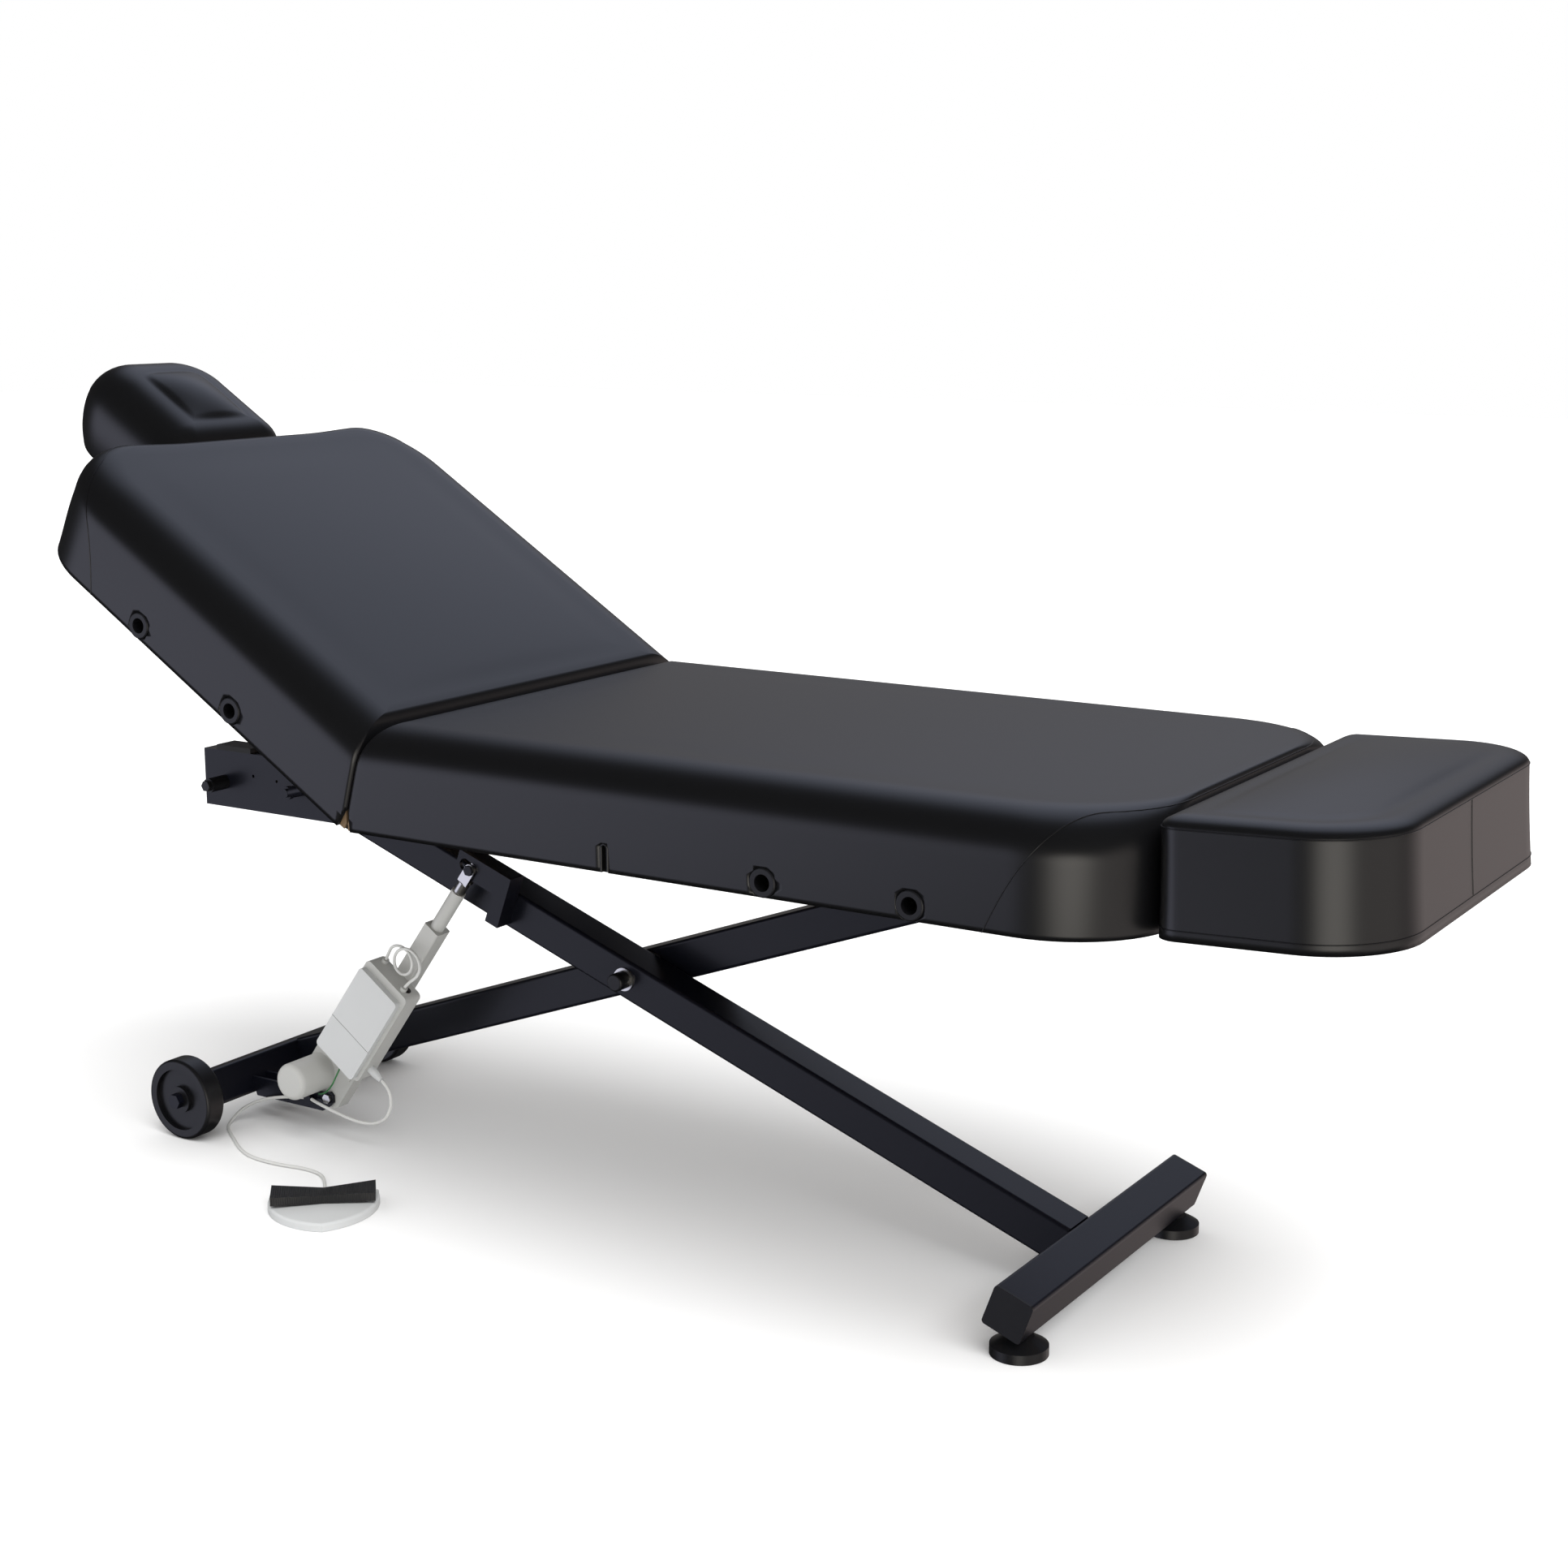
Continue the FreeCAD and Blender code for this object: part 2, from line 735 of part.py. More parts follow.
def save_headrest():
    x1 = hinge_x - backrest_length - headrest_gap
    x0 = x1 - headrest_length
    plan = (x0, x1, headrest_width / 2, headrest_corner, pad_inner_corner)
    z0 = seat_bottom - headrest_drop
    posts_y = (-headrest_sockets_y, headrest_sockets_y)
    pad = pad_cushion(plan, z0, headrest_depth, headrest_insets, posts_y, x1 - overrun, x1 + overrun, 0)
    save("headrest_cushion", on_backrest(pad))
    save("headrest_frame", on_backrest(pad_frame(plan, z0, headrest_insets, posts_y, 0)))
    outer = (x0 + x1) / 2 - pad_rib / 2
    inner = x1 + post_reach
    save("headrest_posts", [on_backrest(rod_x(outer, inner, y, post_z, post_radius)) for y in posts_y])
    wall = hinge_x - backrest_length + skirt
    save("headrest_sockets", [on_backrest(socket_tube(wall, inner + seat_gap, y)) for y in posts_y])


# Backrest hinges and gas struts

leaf_outer = half_width - skirt - seat_gap - frame_wall


def seat_leaf():
    """Strap leaf inside the seat frame, reaching to the hinge axis, with the hinge pin riveted in."""
    y1 = -leaf_outer + leaf_thickness
    low = hinge_z - leaf_height / 2
    high = hinge_z + leaf_height / 2
    strap = block(hinge_x, hinge_x + leaf_length, -leaf_outer, y1, low, high)
    eye = rod_y(hinge_x, hinge_z, leaf_height / 2, -leaf_outer, y1)
    back_face = y1 + seat_gap + leaf_thickness
    pin = rod_y(hinge_x, hinge_z, hinge_pin_radius, y1, back_face + hinge_pin_head)
    tail = rod_y(hinge_x, hinge_z, hinge_pin_head_radius, back_face + seat_gap, back_face + hinge_pin_head)
    return strap.fuse(eye).fuse(pin).fuse(tail).removeSplitter()


def backrest_leaf():
    """Strap leaf of the backrest, beside the seat's leaf, with a packing pad to its own frame."""
    y0 = -leaf_outer + leaf_thickness + seat_gap
    y1 = y0 + leaf_thickness
    low = hinge_z - leaf_height / 2
    high = hinge_z + leaf_height / 2
    strap = block(hinge_x - leaf_length, hinge_x, y0, y1, low, high)
    pad = block(hinge_x - leaf_length, hinge_x - leaf_height - leaf_inner, -leaf_outer, y0, low, high)
    body = strap.fuse(pad).fuse(rod_y(hinge_x, hinge_z, leaf_height / 2, y0, y1)).removeSplitter()
    bore = hinge_pin_radius + running_gap
    return body.cut(rod_y(hinge_x, hinge_z, bore, -leaf_outer - overrun, y1 + overrun))


def save_hinges():
    save("seat_hinge_leaves", pair(seat_leaf()))
    save("backrest_hinge_leaves", [on_backrest(leaf) for leaf in pair(backrest_leaf())])


strut_low = (hinge_x - strut_eye_reach, hinge_z - strut_eye_drop)
strut_tilt = radians(backrest_angle)
strut_high = (hinge_x - strut_arm * cos(strut_tilt) + strut_rise * sin(strut_tilt),
              hinge_z + strut_arm * sin(strut_tilt) + strut_rise * cos(strut_tilt))
strut_length = hypot(strut_high[0] - strut_low[0], strut_high[1] - strut_low[1])
strut_lean = degrees(atan2(strut_high[1] - strut_low[1], strut_high[0] - strut_low[0]))


def on_strut(shape):
    """Strut pieces are drawn level from the lower eye and turned into line."""
    return turned(moved(shape, strut_low[0], 0, strut_low[1]), -strut_lean, *strut_low)


def save_struts():
    y = -strut_offset
    inner = y + strut_eye_width / 2
    outer = y - strut_eye_width / 2
    body_end = strut_length * strut_body_share
    barrel = rod_x(strut_eye_radius - strut_eye_width / 4, body_end, y, 0, strut_radius)
    bore = rod_x(strut_eye_radius + strut_eye_width, body_end, y, 0, strut_rod_radius + running_gap)
    eye = rod_y(0, 0, strut_eye_radius, outer, inner)
    hole = rod_y(0, 0, strut_pin_radius + running_gap, outer - overrun, inner + overrun)
    save("gas_strut_cylinders", [on_strut(s) for s in pair(barrel.cut(bore).fuse(eye).cut(hole))])
    rod = rod_x(body_end / 2, strut_length, y, 0, strut_rod_radius)
    rod_eye = rod_y(strut_length, 0, strut_eye_radius, outer, inner)
    lug_face = outer - strut_slack
    pin = rod_y(strut_length, 0, strut_pin_radius, lug_face - 2 * strut_lug_thickness, outer)
    save("gas_strut_rods", [on_strut(s) for s in pair(rod.fuse(rod_eye).fuse(pin))])
    save("strut_brackets", [on_backrest(s) for s in pair(strut_bracket(lug_face))])


def strut_bracket(face):
    """Stirrup under the backrest slat: its open window lets the strut pin wander as the backrest turns."""
    x = hinge_x - strut_arm
    z = hinge_z + strut_rise
    top = hinge_z + strut_slat_low
    low = z - strut_window_half - strut_window_rim
    plate = block(x - strut_lug_half, x + strut_lug_half, face - strut_lug_thickness, face, low, top)
    foot = block(hinge_x - strut_slat_far, hinge_x - strut_slat_near, face - 2 * strut_window_half, face,
                 top - strut_lug_thickness, top)
    window = block(x - strut_window_half, x + strut_window_half, face - overrun, face + overrun,
                   z - strut_window_half, z + strut_window_half)
    return plate.fuse(foot).cut(window)


# Rails, cross bars and rollers

rail_x0 = hinge_x - rail_head_reach
rail_x1 = hinge_x + rail_foot_reach
track_radius = rail_height / 2 - rail_wall - roller_clearance


def rail():
    """Near channel rail, its open side towards the middle, with the welded stud of the strut eye."""
    y0 = -rail_half_spread
    y1 = y0 + rail_flange
    outer = block(rail_x0, rail_x1, y0, y1, rail_bottom, rail_top)
    body = outer.cut(block(rail_x0 - overrun, rail_x1 + overrun, y0 + rail_wall, y1 + overrun,
                           rail_bottom + rail_wall, rail_top - rail_wall))
    stop_bore = stop_bolt_radius + running_gap
    holes = [rod_y(top_hinge_x, top_z, pivot_radius + running_gap, y0 - overrun, y1),
             rod_y(rail_x0 + stop_bolt_inset, top_z - stop_bolt_drop, stop_bore, y0 - overrun, y1)]
    for inset, rise in zip(rail_hole_insets, rail_hole_rises):
        holes.append(rod_y(rail_x0 + inset, top_z + rise, rail_hole_radius, y0 - overrun, y1))
    for hole in holes:
        body = body.cut(hole)
    inner = -strut_offset + strut_eye_width / 2
    outer = -strut_offset - strut_eye_width / 2
    collar = strut_pin_radius + strut_lug_thickness / 2
    stud = rod_y(*strut_low, strut_pin_radius, outer - pin_head, y0)
    stud = stud.fuse(rod_y(*strut_low, collar, inner + seat_gap, y0))
    stud = stud.fuse(rod_y(*strut_low, collar, outer - pin_head, outer - seat_gap))
    return body.fuse(stud).removeSplitter()


def cross_places():
    return [hinge_x + share * seat_length for share in cross_bar_shares]


def cross_bar(x):
    """Tube welded across the rails, under the seat deck."""
    side = half_width - skirt - frame_wall - 2 * seat_gap
    return tube_y(x - cross_bar_width / 2, x + cross_bar_width / 2, -side, side, rail_top, deck_bottom)


def save_rails():
    save("seat_rails", pair(rail()))
    save("seat_cross_bars", [cross_bar(x) for x in cross_places()])
    middle = hinge_x - backrest_length * bumper_share
    bumper = block(middle - bumper_length / 2, middle + bumper_length / 2, -rail_half_spread,
                   -rail_half_spread + rail_flange, rail_top, rail_top + bumper_thickness)
    save("backrest_bumpers", pair(bumper))
    x = rail_x0 + stop_bolt_inset
    z = top_z - stop_bolt_drop
    tip = -rail_half_spread - stop_sleeve_length
    bolt = rod_y(x, z, stop_bolt_radius, -rail_half_spread, -rail_half_spread + rail_wall)
    sleeve = rod_y(x, z, stop_sleeve_radius, tip, -rail_half_spread)
    head = hex_y(x, z, stop_sleeve_radius - stop_bolt_radius / 2, tip - stop_head_length, tip)
    save("stop_bolts", pair(bolt.fuse(sleeve).fuse(head)))
    save_roller()
    web = rail_half_spread - rail_wall
    spread = rail_half_spread + pivot_nut_length - pivot_washer_thickness
    axle = rod_y(top_hinge_x, top_z, pivot_radius, -spread, spread)
    for nut in pair(hex_y(top_hinge_x, top_z, pivot_nut_radius, -spread, -rail_half_spread)):
        axle = axle.fuse(nut)
    save("top_hinge_axle", axle.removeSplitter())
    outer = axle_collar_radius
    save("top_hinge_spacers",
         ring_y(top_hinge_x, top_z, outer, pivot_radius + running_gap, -web, leg_b_near - seat_gap),
         ring_y(top_hinge_x, top_z, outer, pivot_radius + running_gap, leg_b_far + seat_gap, web))


def save_roller():
    """Axle through the head end of leg A and the two rollers that run in the rails."""
    centre = rail_half_spread - rail_wall - roller_side_gap - roller_width / 2
    edge = centre - roller_width / 2
    axle_end = centre + roller_width / 2
    axle = rod_y(roller_x, top_z, pivot_radius, -axle_end, axle_end)
    for collar in pair(rod_y(roller_x, top_z, axle_collar_radius, -edge + seat_gap, -edge + axle_collar)):
        axle = axle.fuse(collar)
    save("roller_axle", axle.removeSplitter())
    roller = ring_y(roller_x, top_z, track_radius, pivot_radius + running_gap, -axle_end, -edge)
    save("track_rollers", pair(roller))


# Legs, feet and wheels

half_tube = tube_height / 2


def save_leg_a():
    reach = lower_leg - half_tube
    tube = tube_x(-upper_leg - leg_overhang, reach, leg_a_near, leg_a_far, -half_tube, half_tube)
    tube = tube.cut(rod_y(0, 0, pivot_radius + running_gap, leg_a_near, leg_a_far))
    tube = tube.cut(rod_y(-upper_leg, 0, pivot_radius + running_gap, leg_a_near, leg_a_far))
    save("leg_a_tube", on_leg_a(tube.fuse(upper_bracket())))
    save("foot_bar", on_leg_a(foot_bar()))
    side = foot_bar_length / 2
    face = rounded(block(lower_leg - half_tube, lower_leg + half_tube, -side, -side + cap_thickness,
                         -half_tube, half_tube), tube_corner, across)
    inset = half_tube - tube_wall - seat_gap
    plug = block(lower_leg - inset, lower_leg + inset, -side + cap_thickness, -side + cap_thickness + cap_plug,
                 -inset, inset)
    save("foot_bar_caps", [on_leg_a(s) for s in pair(face.fuse(plug))])
    save_pivot()


def save_pivot():
    """Bolt through both legs, with its washers, the spacer between the legs and the cap on the near end."""
    washer_face = leg_a_near - pivot_washer_thickness
    nut_face = leg_b_far + pivot_washer_thickness
    bolt = rod_y(0, 0, pivot_radius, washer_face - pivot_cap_length / 2, nut_face + pivot_nut_length)
    nut = hex_y(0, 0, pivot_nut_radius, nut_face, nut_face + pivot_nut_length)
    save("pivot_bolt", on_leg_a(bolt.fuse(nut).removeSplitter()))
    bore = pivot_radius + running_gap
    washers = [ring_y(0, 0, pivot_washer_radius, bore, washer_face, leg_a_near),
               ring_y(0, 0, spacer_radius, bore, leg_a_far, leg_b_near - seat_gap),
               ring_y(0, 0, pivot_washer_radius, bore, leg_b_far + seat_gap, nut_face)]
    save("pivot_washers", [on_leg_a(w) for w in washers])
    cap = rod_y(0, 0, pivot_cap_radius, washer_face - pivot_cap_length, washer_face)
    rim = [e for e in cap.Edges if e.Closed and e.BoundBox.YMax < washer_face - pivot_cap_length / 2]
    cap = cap.makeFillet(pivot_washer_thickness, rim)
    save("pivot_cap", on_leg_a(cap.cut(rod_y(0, 0, bore, washer_face - pivot_cap_length / 2, washer_face))))


def foot_bar():
    """Cross bar at the foot end, with cheeks inside and the swivel pins of the feet welded in them."""
    side = foot_bar_length / 2 - cap_thickness
    bar = tube_y(lower_leg - half_tube, lower_leg + half_tube, -side, side, -half_tube, half_tube)
    inside = half_tube - tube_wall / 2
    half_eye = eye_width / 2 + seat_gap
    for y in (-foot_spread / 2, foot_spread / 2):
        bar = bar.cut(block(lower_leg - stem_slot_back, lower_leg + stem_slot_front, y - half_eye, y + half_eye,
                            -half_tube - overrun, -half_tube + tube_wall))
        for y0 in (y - half_eye - cheek_thickness, y + half_eye):
            y1 = y0 + cheek_thickness
            bar = bar.fuse(block(lower_leg - inside, lower_leg + inside, y0, y1, -inside, inside))
        bar = bar.fuse(rod_y(lower_leg, 0, swivel_pin_radius, y - half_eye, y + half_eye))
    return bar.removeSplitter()


def upper_bracket():
    """Angle bracket on leg A: the plate takes the fork of the push rod, the other side is welded on."""
    y0 = -motor_plane - lug_plate / 2
    y1 = y0 + lug_plate
    s0 = -front_pin_back - lug_back
    s1 = -bracket_back
    top = front_pin_rise + lug_top
    low = front_pin_rise - lug_low
    plate = plate_y([(s0, low + lug_chamfer), (s0, top), (s1, top), (s1, -lug_foot),
                     (s1 - lug_foot_width, -lug_foot), (s1 - lug_foot_width, low), (s0 + lug_chamfer, low)], y0, y1)
    side = block(s1 - gusset_plate, s1, y1, leg_a_near + tube_wall / 2, -lug_foot, half_tube - tube_corner)
    rib = block(s1 - gusset_plate, s1, y1, leg_a_near - seat_gap, half_tube - tube_corner, top)
    return plate.fuse(side).fuse(rib).removeSplitter().cut(lug_opening(y0 - overrun, y1 + overrun))


def lug_opening(y0, y1):
    """Long hole: the fork pin sits at its lower end at rest and wanders along it as the lift moves."""
    heading = radians(lug_hole_heading + leg_angle)
    shift = lug_hole_shift
    far = (-front_pin_back + shift * cos(heading), front_pin_rise + shift * sin(heading))
    hole = rod_y(-front_pin_back, front_pin_rise, lug_hole_radius, y0, y1)
    hole = hole.fuse(rod_y(*far, lug_hole_radius, y0, y1))
    slot = block(0, shift, y0, y1, -lug_hole_radius, lug_hole_radius)
    slot = turned(slot, -degrees(heading), 0, 0)
    return hole.fuse(moved(slot, -front_pin_back, 0, front_pin_rise))


def save_feet():
    pads = []
    stems = []
    for y in (-foot_spread / 2, foot_spread / 2):
        disc = rod_z(feet_x, y, foot_radius, 0, foot_rim)
        rim = vec(feet_x, y, foot_rim)
        dome = Part.makeCone(foot_radius, foot_crown_radius, foot_height - foot_rim, rim, upright)
        pads.append(disc.fuse(dome).removeSplitter())
        stem = rod_z(feet_x, y, stem_radius, foot_height, wheel_radius)
        eye = rod_y(feet_x, wheel_radius, eye_radius, y - eye_width / 2, y + eye_width / 2)
        hole = rod_y(feet_x, wheel_radius, swivel_pin_radius + running_gap, y - eye_width, y + eye_width)
        stems.append(stem.fuse(eye).cut(hole))
    save("foot_pads", pads)
    save("foot_stems", stems)


def save_leg_b():
    reach = lower_leg - half_tube
    tube = tube_x(-reach, upper_leg + leg_overhang, leg_b_near, leg_b_far, -half_tube, half_tube)
    tube = tube.cut(rod_y(0, 0, pivot_radius + running_gap, leg_b_near, leg_b_far))
    tube = tube.cut(rod_y(upper_leg, 0, pivot_radius + running_gap, leg_b_near, leg_b_far))
    save("leg_b_tube", on_leg_b(tube))
    side = wheel_bar_length / 2
    bar = tube_y(-lower_leg - half_tube, -lower_leg + half_tube, -side, side, -half_tube, half_tube)
    inside = half_tube - tube_wall / 2
    plug = block(-lower_leg - inside, -lower_leg + inside, -side, -side + wheel_plug_length, -inside, inside)
    for end in pair(plug):
        bar = bar.fuse(end)
    bar = bar.cut(rod_y(-lower_leg, 0, wheel_axle_radius + running_gap, -side, side))
    save("wheel_bar", on_leg_b(bar.removeSplitter()).fuse(lower_bracket()))


rear_pin = (wheel_x + rear_pin_ahead, wheel_radius - rear_pin_drop)
front_pin = (-front_pin_back * cos(lean) + front_pin_rise * sin(lean),
             pivot_z + front_pin_back * sin(lean) + front_pin_rise * cos(lean))
motor_reach = hypot(front_pin[0] - rear_pin[0], front_pin[1] - rear_pin[1])
motor_lean = degrees(atan2(front_pin[1] - rear_pin[1], front_pin[0] - rear_pin[0]))
outer_tube_end = motor_reach * outer_tube_share
clip_x = rear_pin[0] - clip_back
switch_x = rear_pin[0] + switch_ahead


def bar_front(z):
    """Place along X of the wheel bar's front face at one height."""
    return wheel_x + half_tube / cos(lean) - (z - wheel_radius) * tan(lean)


def lower_bracket():
    """Two cheeks on the wheel bar that hold the tail of the lift motor, and the clip of the switch cord."""
    x, z = rear_pin
    r = bracket_eye_radius
    low = z - bracket_drop
    high = z + r
    sunk = tube_wall / 2
    outline = [(bar_front(low) - sunk, low), (x - r, low), (x + r / 2, z - r), (x + r, z - r / 2),
               (x + r, z + r / 2), (x + r / 2, high), (x - r, high - r / 4),
               (bar_front(high) - sunk, high - r / 4)]
    inner = housing_width / 2 + bracket_side_gap
    near_face = -motor_plane - inner - bracket_plate
    near = plate_y(outline, near_face, -motor_plane - inner)
    far = plate_y(outline, -motor_plane + inner, -motor_plane + inner + bracket_plate)
    body = Part.makeCompound([cheek.cut(rod_y(x, z, motor_pin_radius + running_gap, -2 * motor_plane, 0))
                              for cheek in (near, far)])
    clip = block(clip_x, clip_x + clip_length, near_face - clip_reach, near_face, clip_z - clip_height / 2,
                 clip_z + clip_height / 2)
    return body.fuse(rounded(clip, tube_wall, across))


def wheel():
    """Moulded wheel with a dished, stepped face on both sides."""
    inner = wheel_bar_length / 2 + wheel_washer + seat_gap
    outer = inner + wheel_width
    rim = wheel_radius - tyre_depth
    body = rod_y(wheel_x, wheel_radius, wheel_radius, -outer, -inner)
    body = body.makeFillet(tyre_depth / 3, [e for e in body.Edges if e.Closed])
    for y0 in (-outer, -inner - hub_dish):
        body = body.cut(ring_y(wheel_x, wheel_radius, rim, hub_boss_radius, y0, y0 + hub_dish))
    return body.cut(rod_y(wheel_x, wheel_radius, wheel_axle_radius + running_gap, -outer, -inner))


def save_wheels():
    save("near_wheel", wheel())
    save("far_wheel", far_side(wheel()))
    bar_end = wheel_bar_length / 2
    outer = bar_end + wheel_washer + 2 * seat_gap + wheel_width
    tip = -outer - wheel_nut_length
    axle = rod_y(wheel_x, wheel_radius, wheel_axle_radius, tip, -bar_end + wheel_plug_length)
    washer = rod_y(wheel_x, wheel_radius, hub_boss_radius - hub_rim, -bar_end - wheel_washer, -bar_end)
    nut = hex_y(wheel_x, wheel_radius, wheel_nut_radius, tip, -outer)
    save("wheel_axles", pair(axle.fuse(washer).fuse(nut).removeSplitter()))


# Lift motor

def on_motor(shape):
    """Motor pieces are drawn level from the rear pin and turned into line with the front pin."""
    return turned(moved(shape, rear_pin[0], 0, rear_pin[1]), -motor_lean, *rear_pin)


def motor_housing():
    """Gear housing: its tail takes the rear pin, its head holds the outer tube."""
    y0 = -motor_plane - housing_width / 2
    y1 = y0 + housing_width
    body = rounded(block(-housing_tail, housing_end, y0, y1, -housing_inner_side, housing_outer_side),
                   housing_corner, across)
    body = body.cut(rod_y(0, 0, motor_pin_radius + running_gap, y0 - overrun, y1 + overrun))
    seat = outer_tube_half + seat_gap
    return body.cut(block(outer_tube_start, housing_end + overrun, y0 - overrun, y1 + overrun, -seat, seat))


def outer_tube():
    h = outer_tube_half
    body = rounded(block(outer_tube_start, outer_tube_end, -motor_plane - h, -motor_plane + h, -h, h),
                   outer_tube_wall, along)
    bore = rod_radius + running_gap
    return body.cut(rod_x(outer_tube_start + outer_tube_wall, outer_tube_end, -motor_plane, 0, bore))


def motor_can():
    y1 = -motor_plane - housing_width / 2
    y0 = y1 - motor_length
    can = rod_y(motor_along, motor_side, motor_radius, y0, y1)
    rim = [e for e in can.Edges if e.Closed and e.BoundBox.YMax < y0 + running_gap]
    return can.makeFillet(motor_cap_round, rim)


def fork():
    """Plated fork on the end of the push rod, astride the bracket plate of leg A."""
    start = motor_reach - fork_prong_length
    inner = lug_plate / 2 + fork_gap
    body = rod_x(start - fork_base_length, start, -motor_plane, 0, fork_half_width)
    for y in (-motor_plane - inner - fork_prong, -motor_plane + inner):
        plate = block(start, motor_reach, y, y + fork_prong, -fork_half_width, fork_half_width)
        body = body.fuse(plate).fuse(rod_y(motor_reach, 0, fork_half_width, y, y + fork_prong))
    hole = rod_y(motor_reach, 0, motor_pin_radius + running_gap, -2 * motor_plane, 0)
    return body.cut(hole).removeSplitter()


def headed_pin(along_axis, half_length):
    """Pin along Y with a hexagon at both ends."""
    near = -motor_plane - half_length
    far = -motor_plane + half_length
    shank = rod_y(along_axis, 0, motor_pin_radius, near, far)
    head = hex_y(along_axis, 0, pin_head_radius, near - pin_head, near)
    nut = hex_y(along_axis, 0, pin_head_radius, far, far + pin_head)
    return shank.fuse(head).fuse(nut)


def save_motor():
    save("motor_housing", on_motor(motor_housing()))
    save("motor_outer_tube", on_motor(outer_tube()))
    save("motor_can", on_motor(motor_can()))
    fork_start = motor_reach - fork_prong_length - fork_base_length
    save("push_rod", on_motor(rod_x(rod_start, fork_start, -motor_plane, 0, rod_radius)))
    save("push_rod_fork", on_motor(fork()))
    save("front_pin", on_motor(headed_pin(motor_reach, lug_plate / 2 + fork_gap + fork_prong)))
    save("rear_pin", on_motor(headed_pin(0, housing_width / 2 + bracket_side_gap + bracket_plate)))
    save_control_box()


box_back = -motor_plane - outer_tube_half
box_split = box_back - box_base_depth
plug_y = box_back - plug_in_base


def save_control_box():
    """Box of the motor's controls: base, lid and the plug of the foot switch cord in its side."""
    base = rounded(block(box_start, box_end, box_split, box_back, box_low, box_high), box_corner, across)
    for last in (0, 1):
        p, y = coil_end(last)
        base = base.fuse(rod_x(box_end, box_end + gland_length, y, p, gland_radius))
    base = base.cut(rod_z(plug_along, plug_y, plug_radius + running_gap, box_low, box_low + plug_seat))
    save("control_box_base", on_motor(base))
    lid = block(lid_start, lid_end, box_split - lid_depth, box_split, lid_low, lid_high)
    save("control_box_lid", on_motor(rounded(lid, lid_corner, across)))
    plug = rod_z(plug_along, plug_y, plug_radius, box_low - plug_length, box_low + plug_seat)
    relief = Part.makeCone(plug_radius, switch_cord_radius + tube_wall / 2, plug_relief_length,
                           vec(plug_along, plug_y, box_low - plug_length), vec(0, 0, -1))
    save("switch_plug", on_motor(plug.fuse(relief)))


def motor_point(s, y, p):
    """World place of a point in the level drawing of the lift motor."""
    a = radians(motor_lean)
    return (rear_pin[0] + s * cos(a) - p * sin(a), y, rear_pin[1] + s * sin(a) + p * cos(a))


def coil_end(last):
    """Where the first or last end of the coiled motor cord meets the end of the control box."""
    return (coil_exit_sides[last], box_back - box_base_depth / 2 + (last - 0.5) * coil_depth)


# Foot switch

def on_floor(shape):
    """Foot switch pieces are drawn square to the axes and turned to face the user."""
    copy = shape.copy()
    copy.rotate(vec(0, 0, 0), upright, switch_turn)
    copy.translate(vec(switch_x, switch_y, 0))
    return copy


def half_moon(half, front, back, z0, z1):
    """Half-moon base: straight at the back, one round sweep to the front."""
    sweep_x = half * cos(pi / 4)
    sweep_y = -front * sin(pi / 4)
    right = vec(half, 0, z0)
    left = vec(-half, 0, z0)
    nose = vec(0, -front, z0)
    edges = [Part.LineSegment(right, vec(half, back, z0)).toShape(),
             Part.LineSegment(vec(half, back, z0), vec(-half, back, z0)).toShape(),
             Part.LineSegment(vec(-half, back, z0), left).toShape(),
             Part.Arc(left, vec(-sweep_x, sweep_y, z0), nose).toShape(),
             Part.Arc(nose, vec(sweep_x, sweep_y, z0), right).toShape()]
    return Part.Face(Part.Wire(edges)).extrude(vec(0, 0, z1 - z0))


rocker_z = switch_base + rocker_gap
rocker_axis_z = rocker_z + rocker_pin_radius
rocker_y = -rocker_half_depth
rocker_pin_reach = rocker_half_depth * rocker_waist_share - rocker_pin_cover


def rocker():
    """Bow-tie treadle, narrow at its waist and rising to both ends."""
    d = rocker_half_depth
    w = d * rocker_waist_share
    h = rocker_half_length
    plan = [(-h, -d), (0, -w), (h, -d), (h, d), (0, w), (-h, d)]
    corners = [vec(x, y, rocker_z) for x, y in plan]
    body = Part.Face(Part.makePolygon(corners + corners[:1])).extrude(vec(0, 0, rocker_rise + rocker_lift))
    top = rocker_z + rocker_rise
    tip = top + rocker_lift
    roof = [(-h, tip), (0, top), (h, tip), (h, top + overrun), (-h, top + overrun)]
    keel = [(-h, rocker_z + rocker_keel_lift), (0, rocker_z), (h, rocker_z + rocker_keel_lift),
            (h, rocker_z - overrun), (-h, rocker_z - overrun)]
    body = body.cut(plate_y(roof, -2 * d, 2 * d)).cut(plate_y(keel, -2 * d, 2 * d))
    roof_z = rocker_axis_z + 1.5 * rocker_pin_radius
    slot = block(-rocker_post, rocker_post, -rocker_post, rocker_post, 0, roof_z)
    hole = rocker_pin_reach + seat_gap
    body = body.cut(slot).cut(rod_y(0, rocker_axis_z, rocker_pin_radius + running_gap, -hole, hole))
    return moved(body, 0, rocker_y, 0)


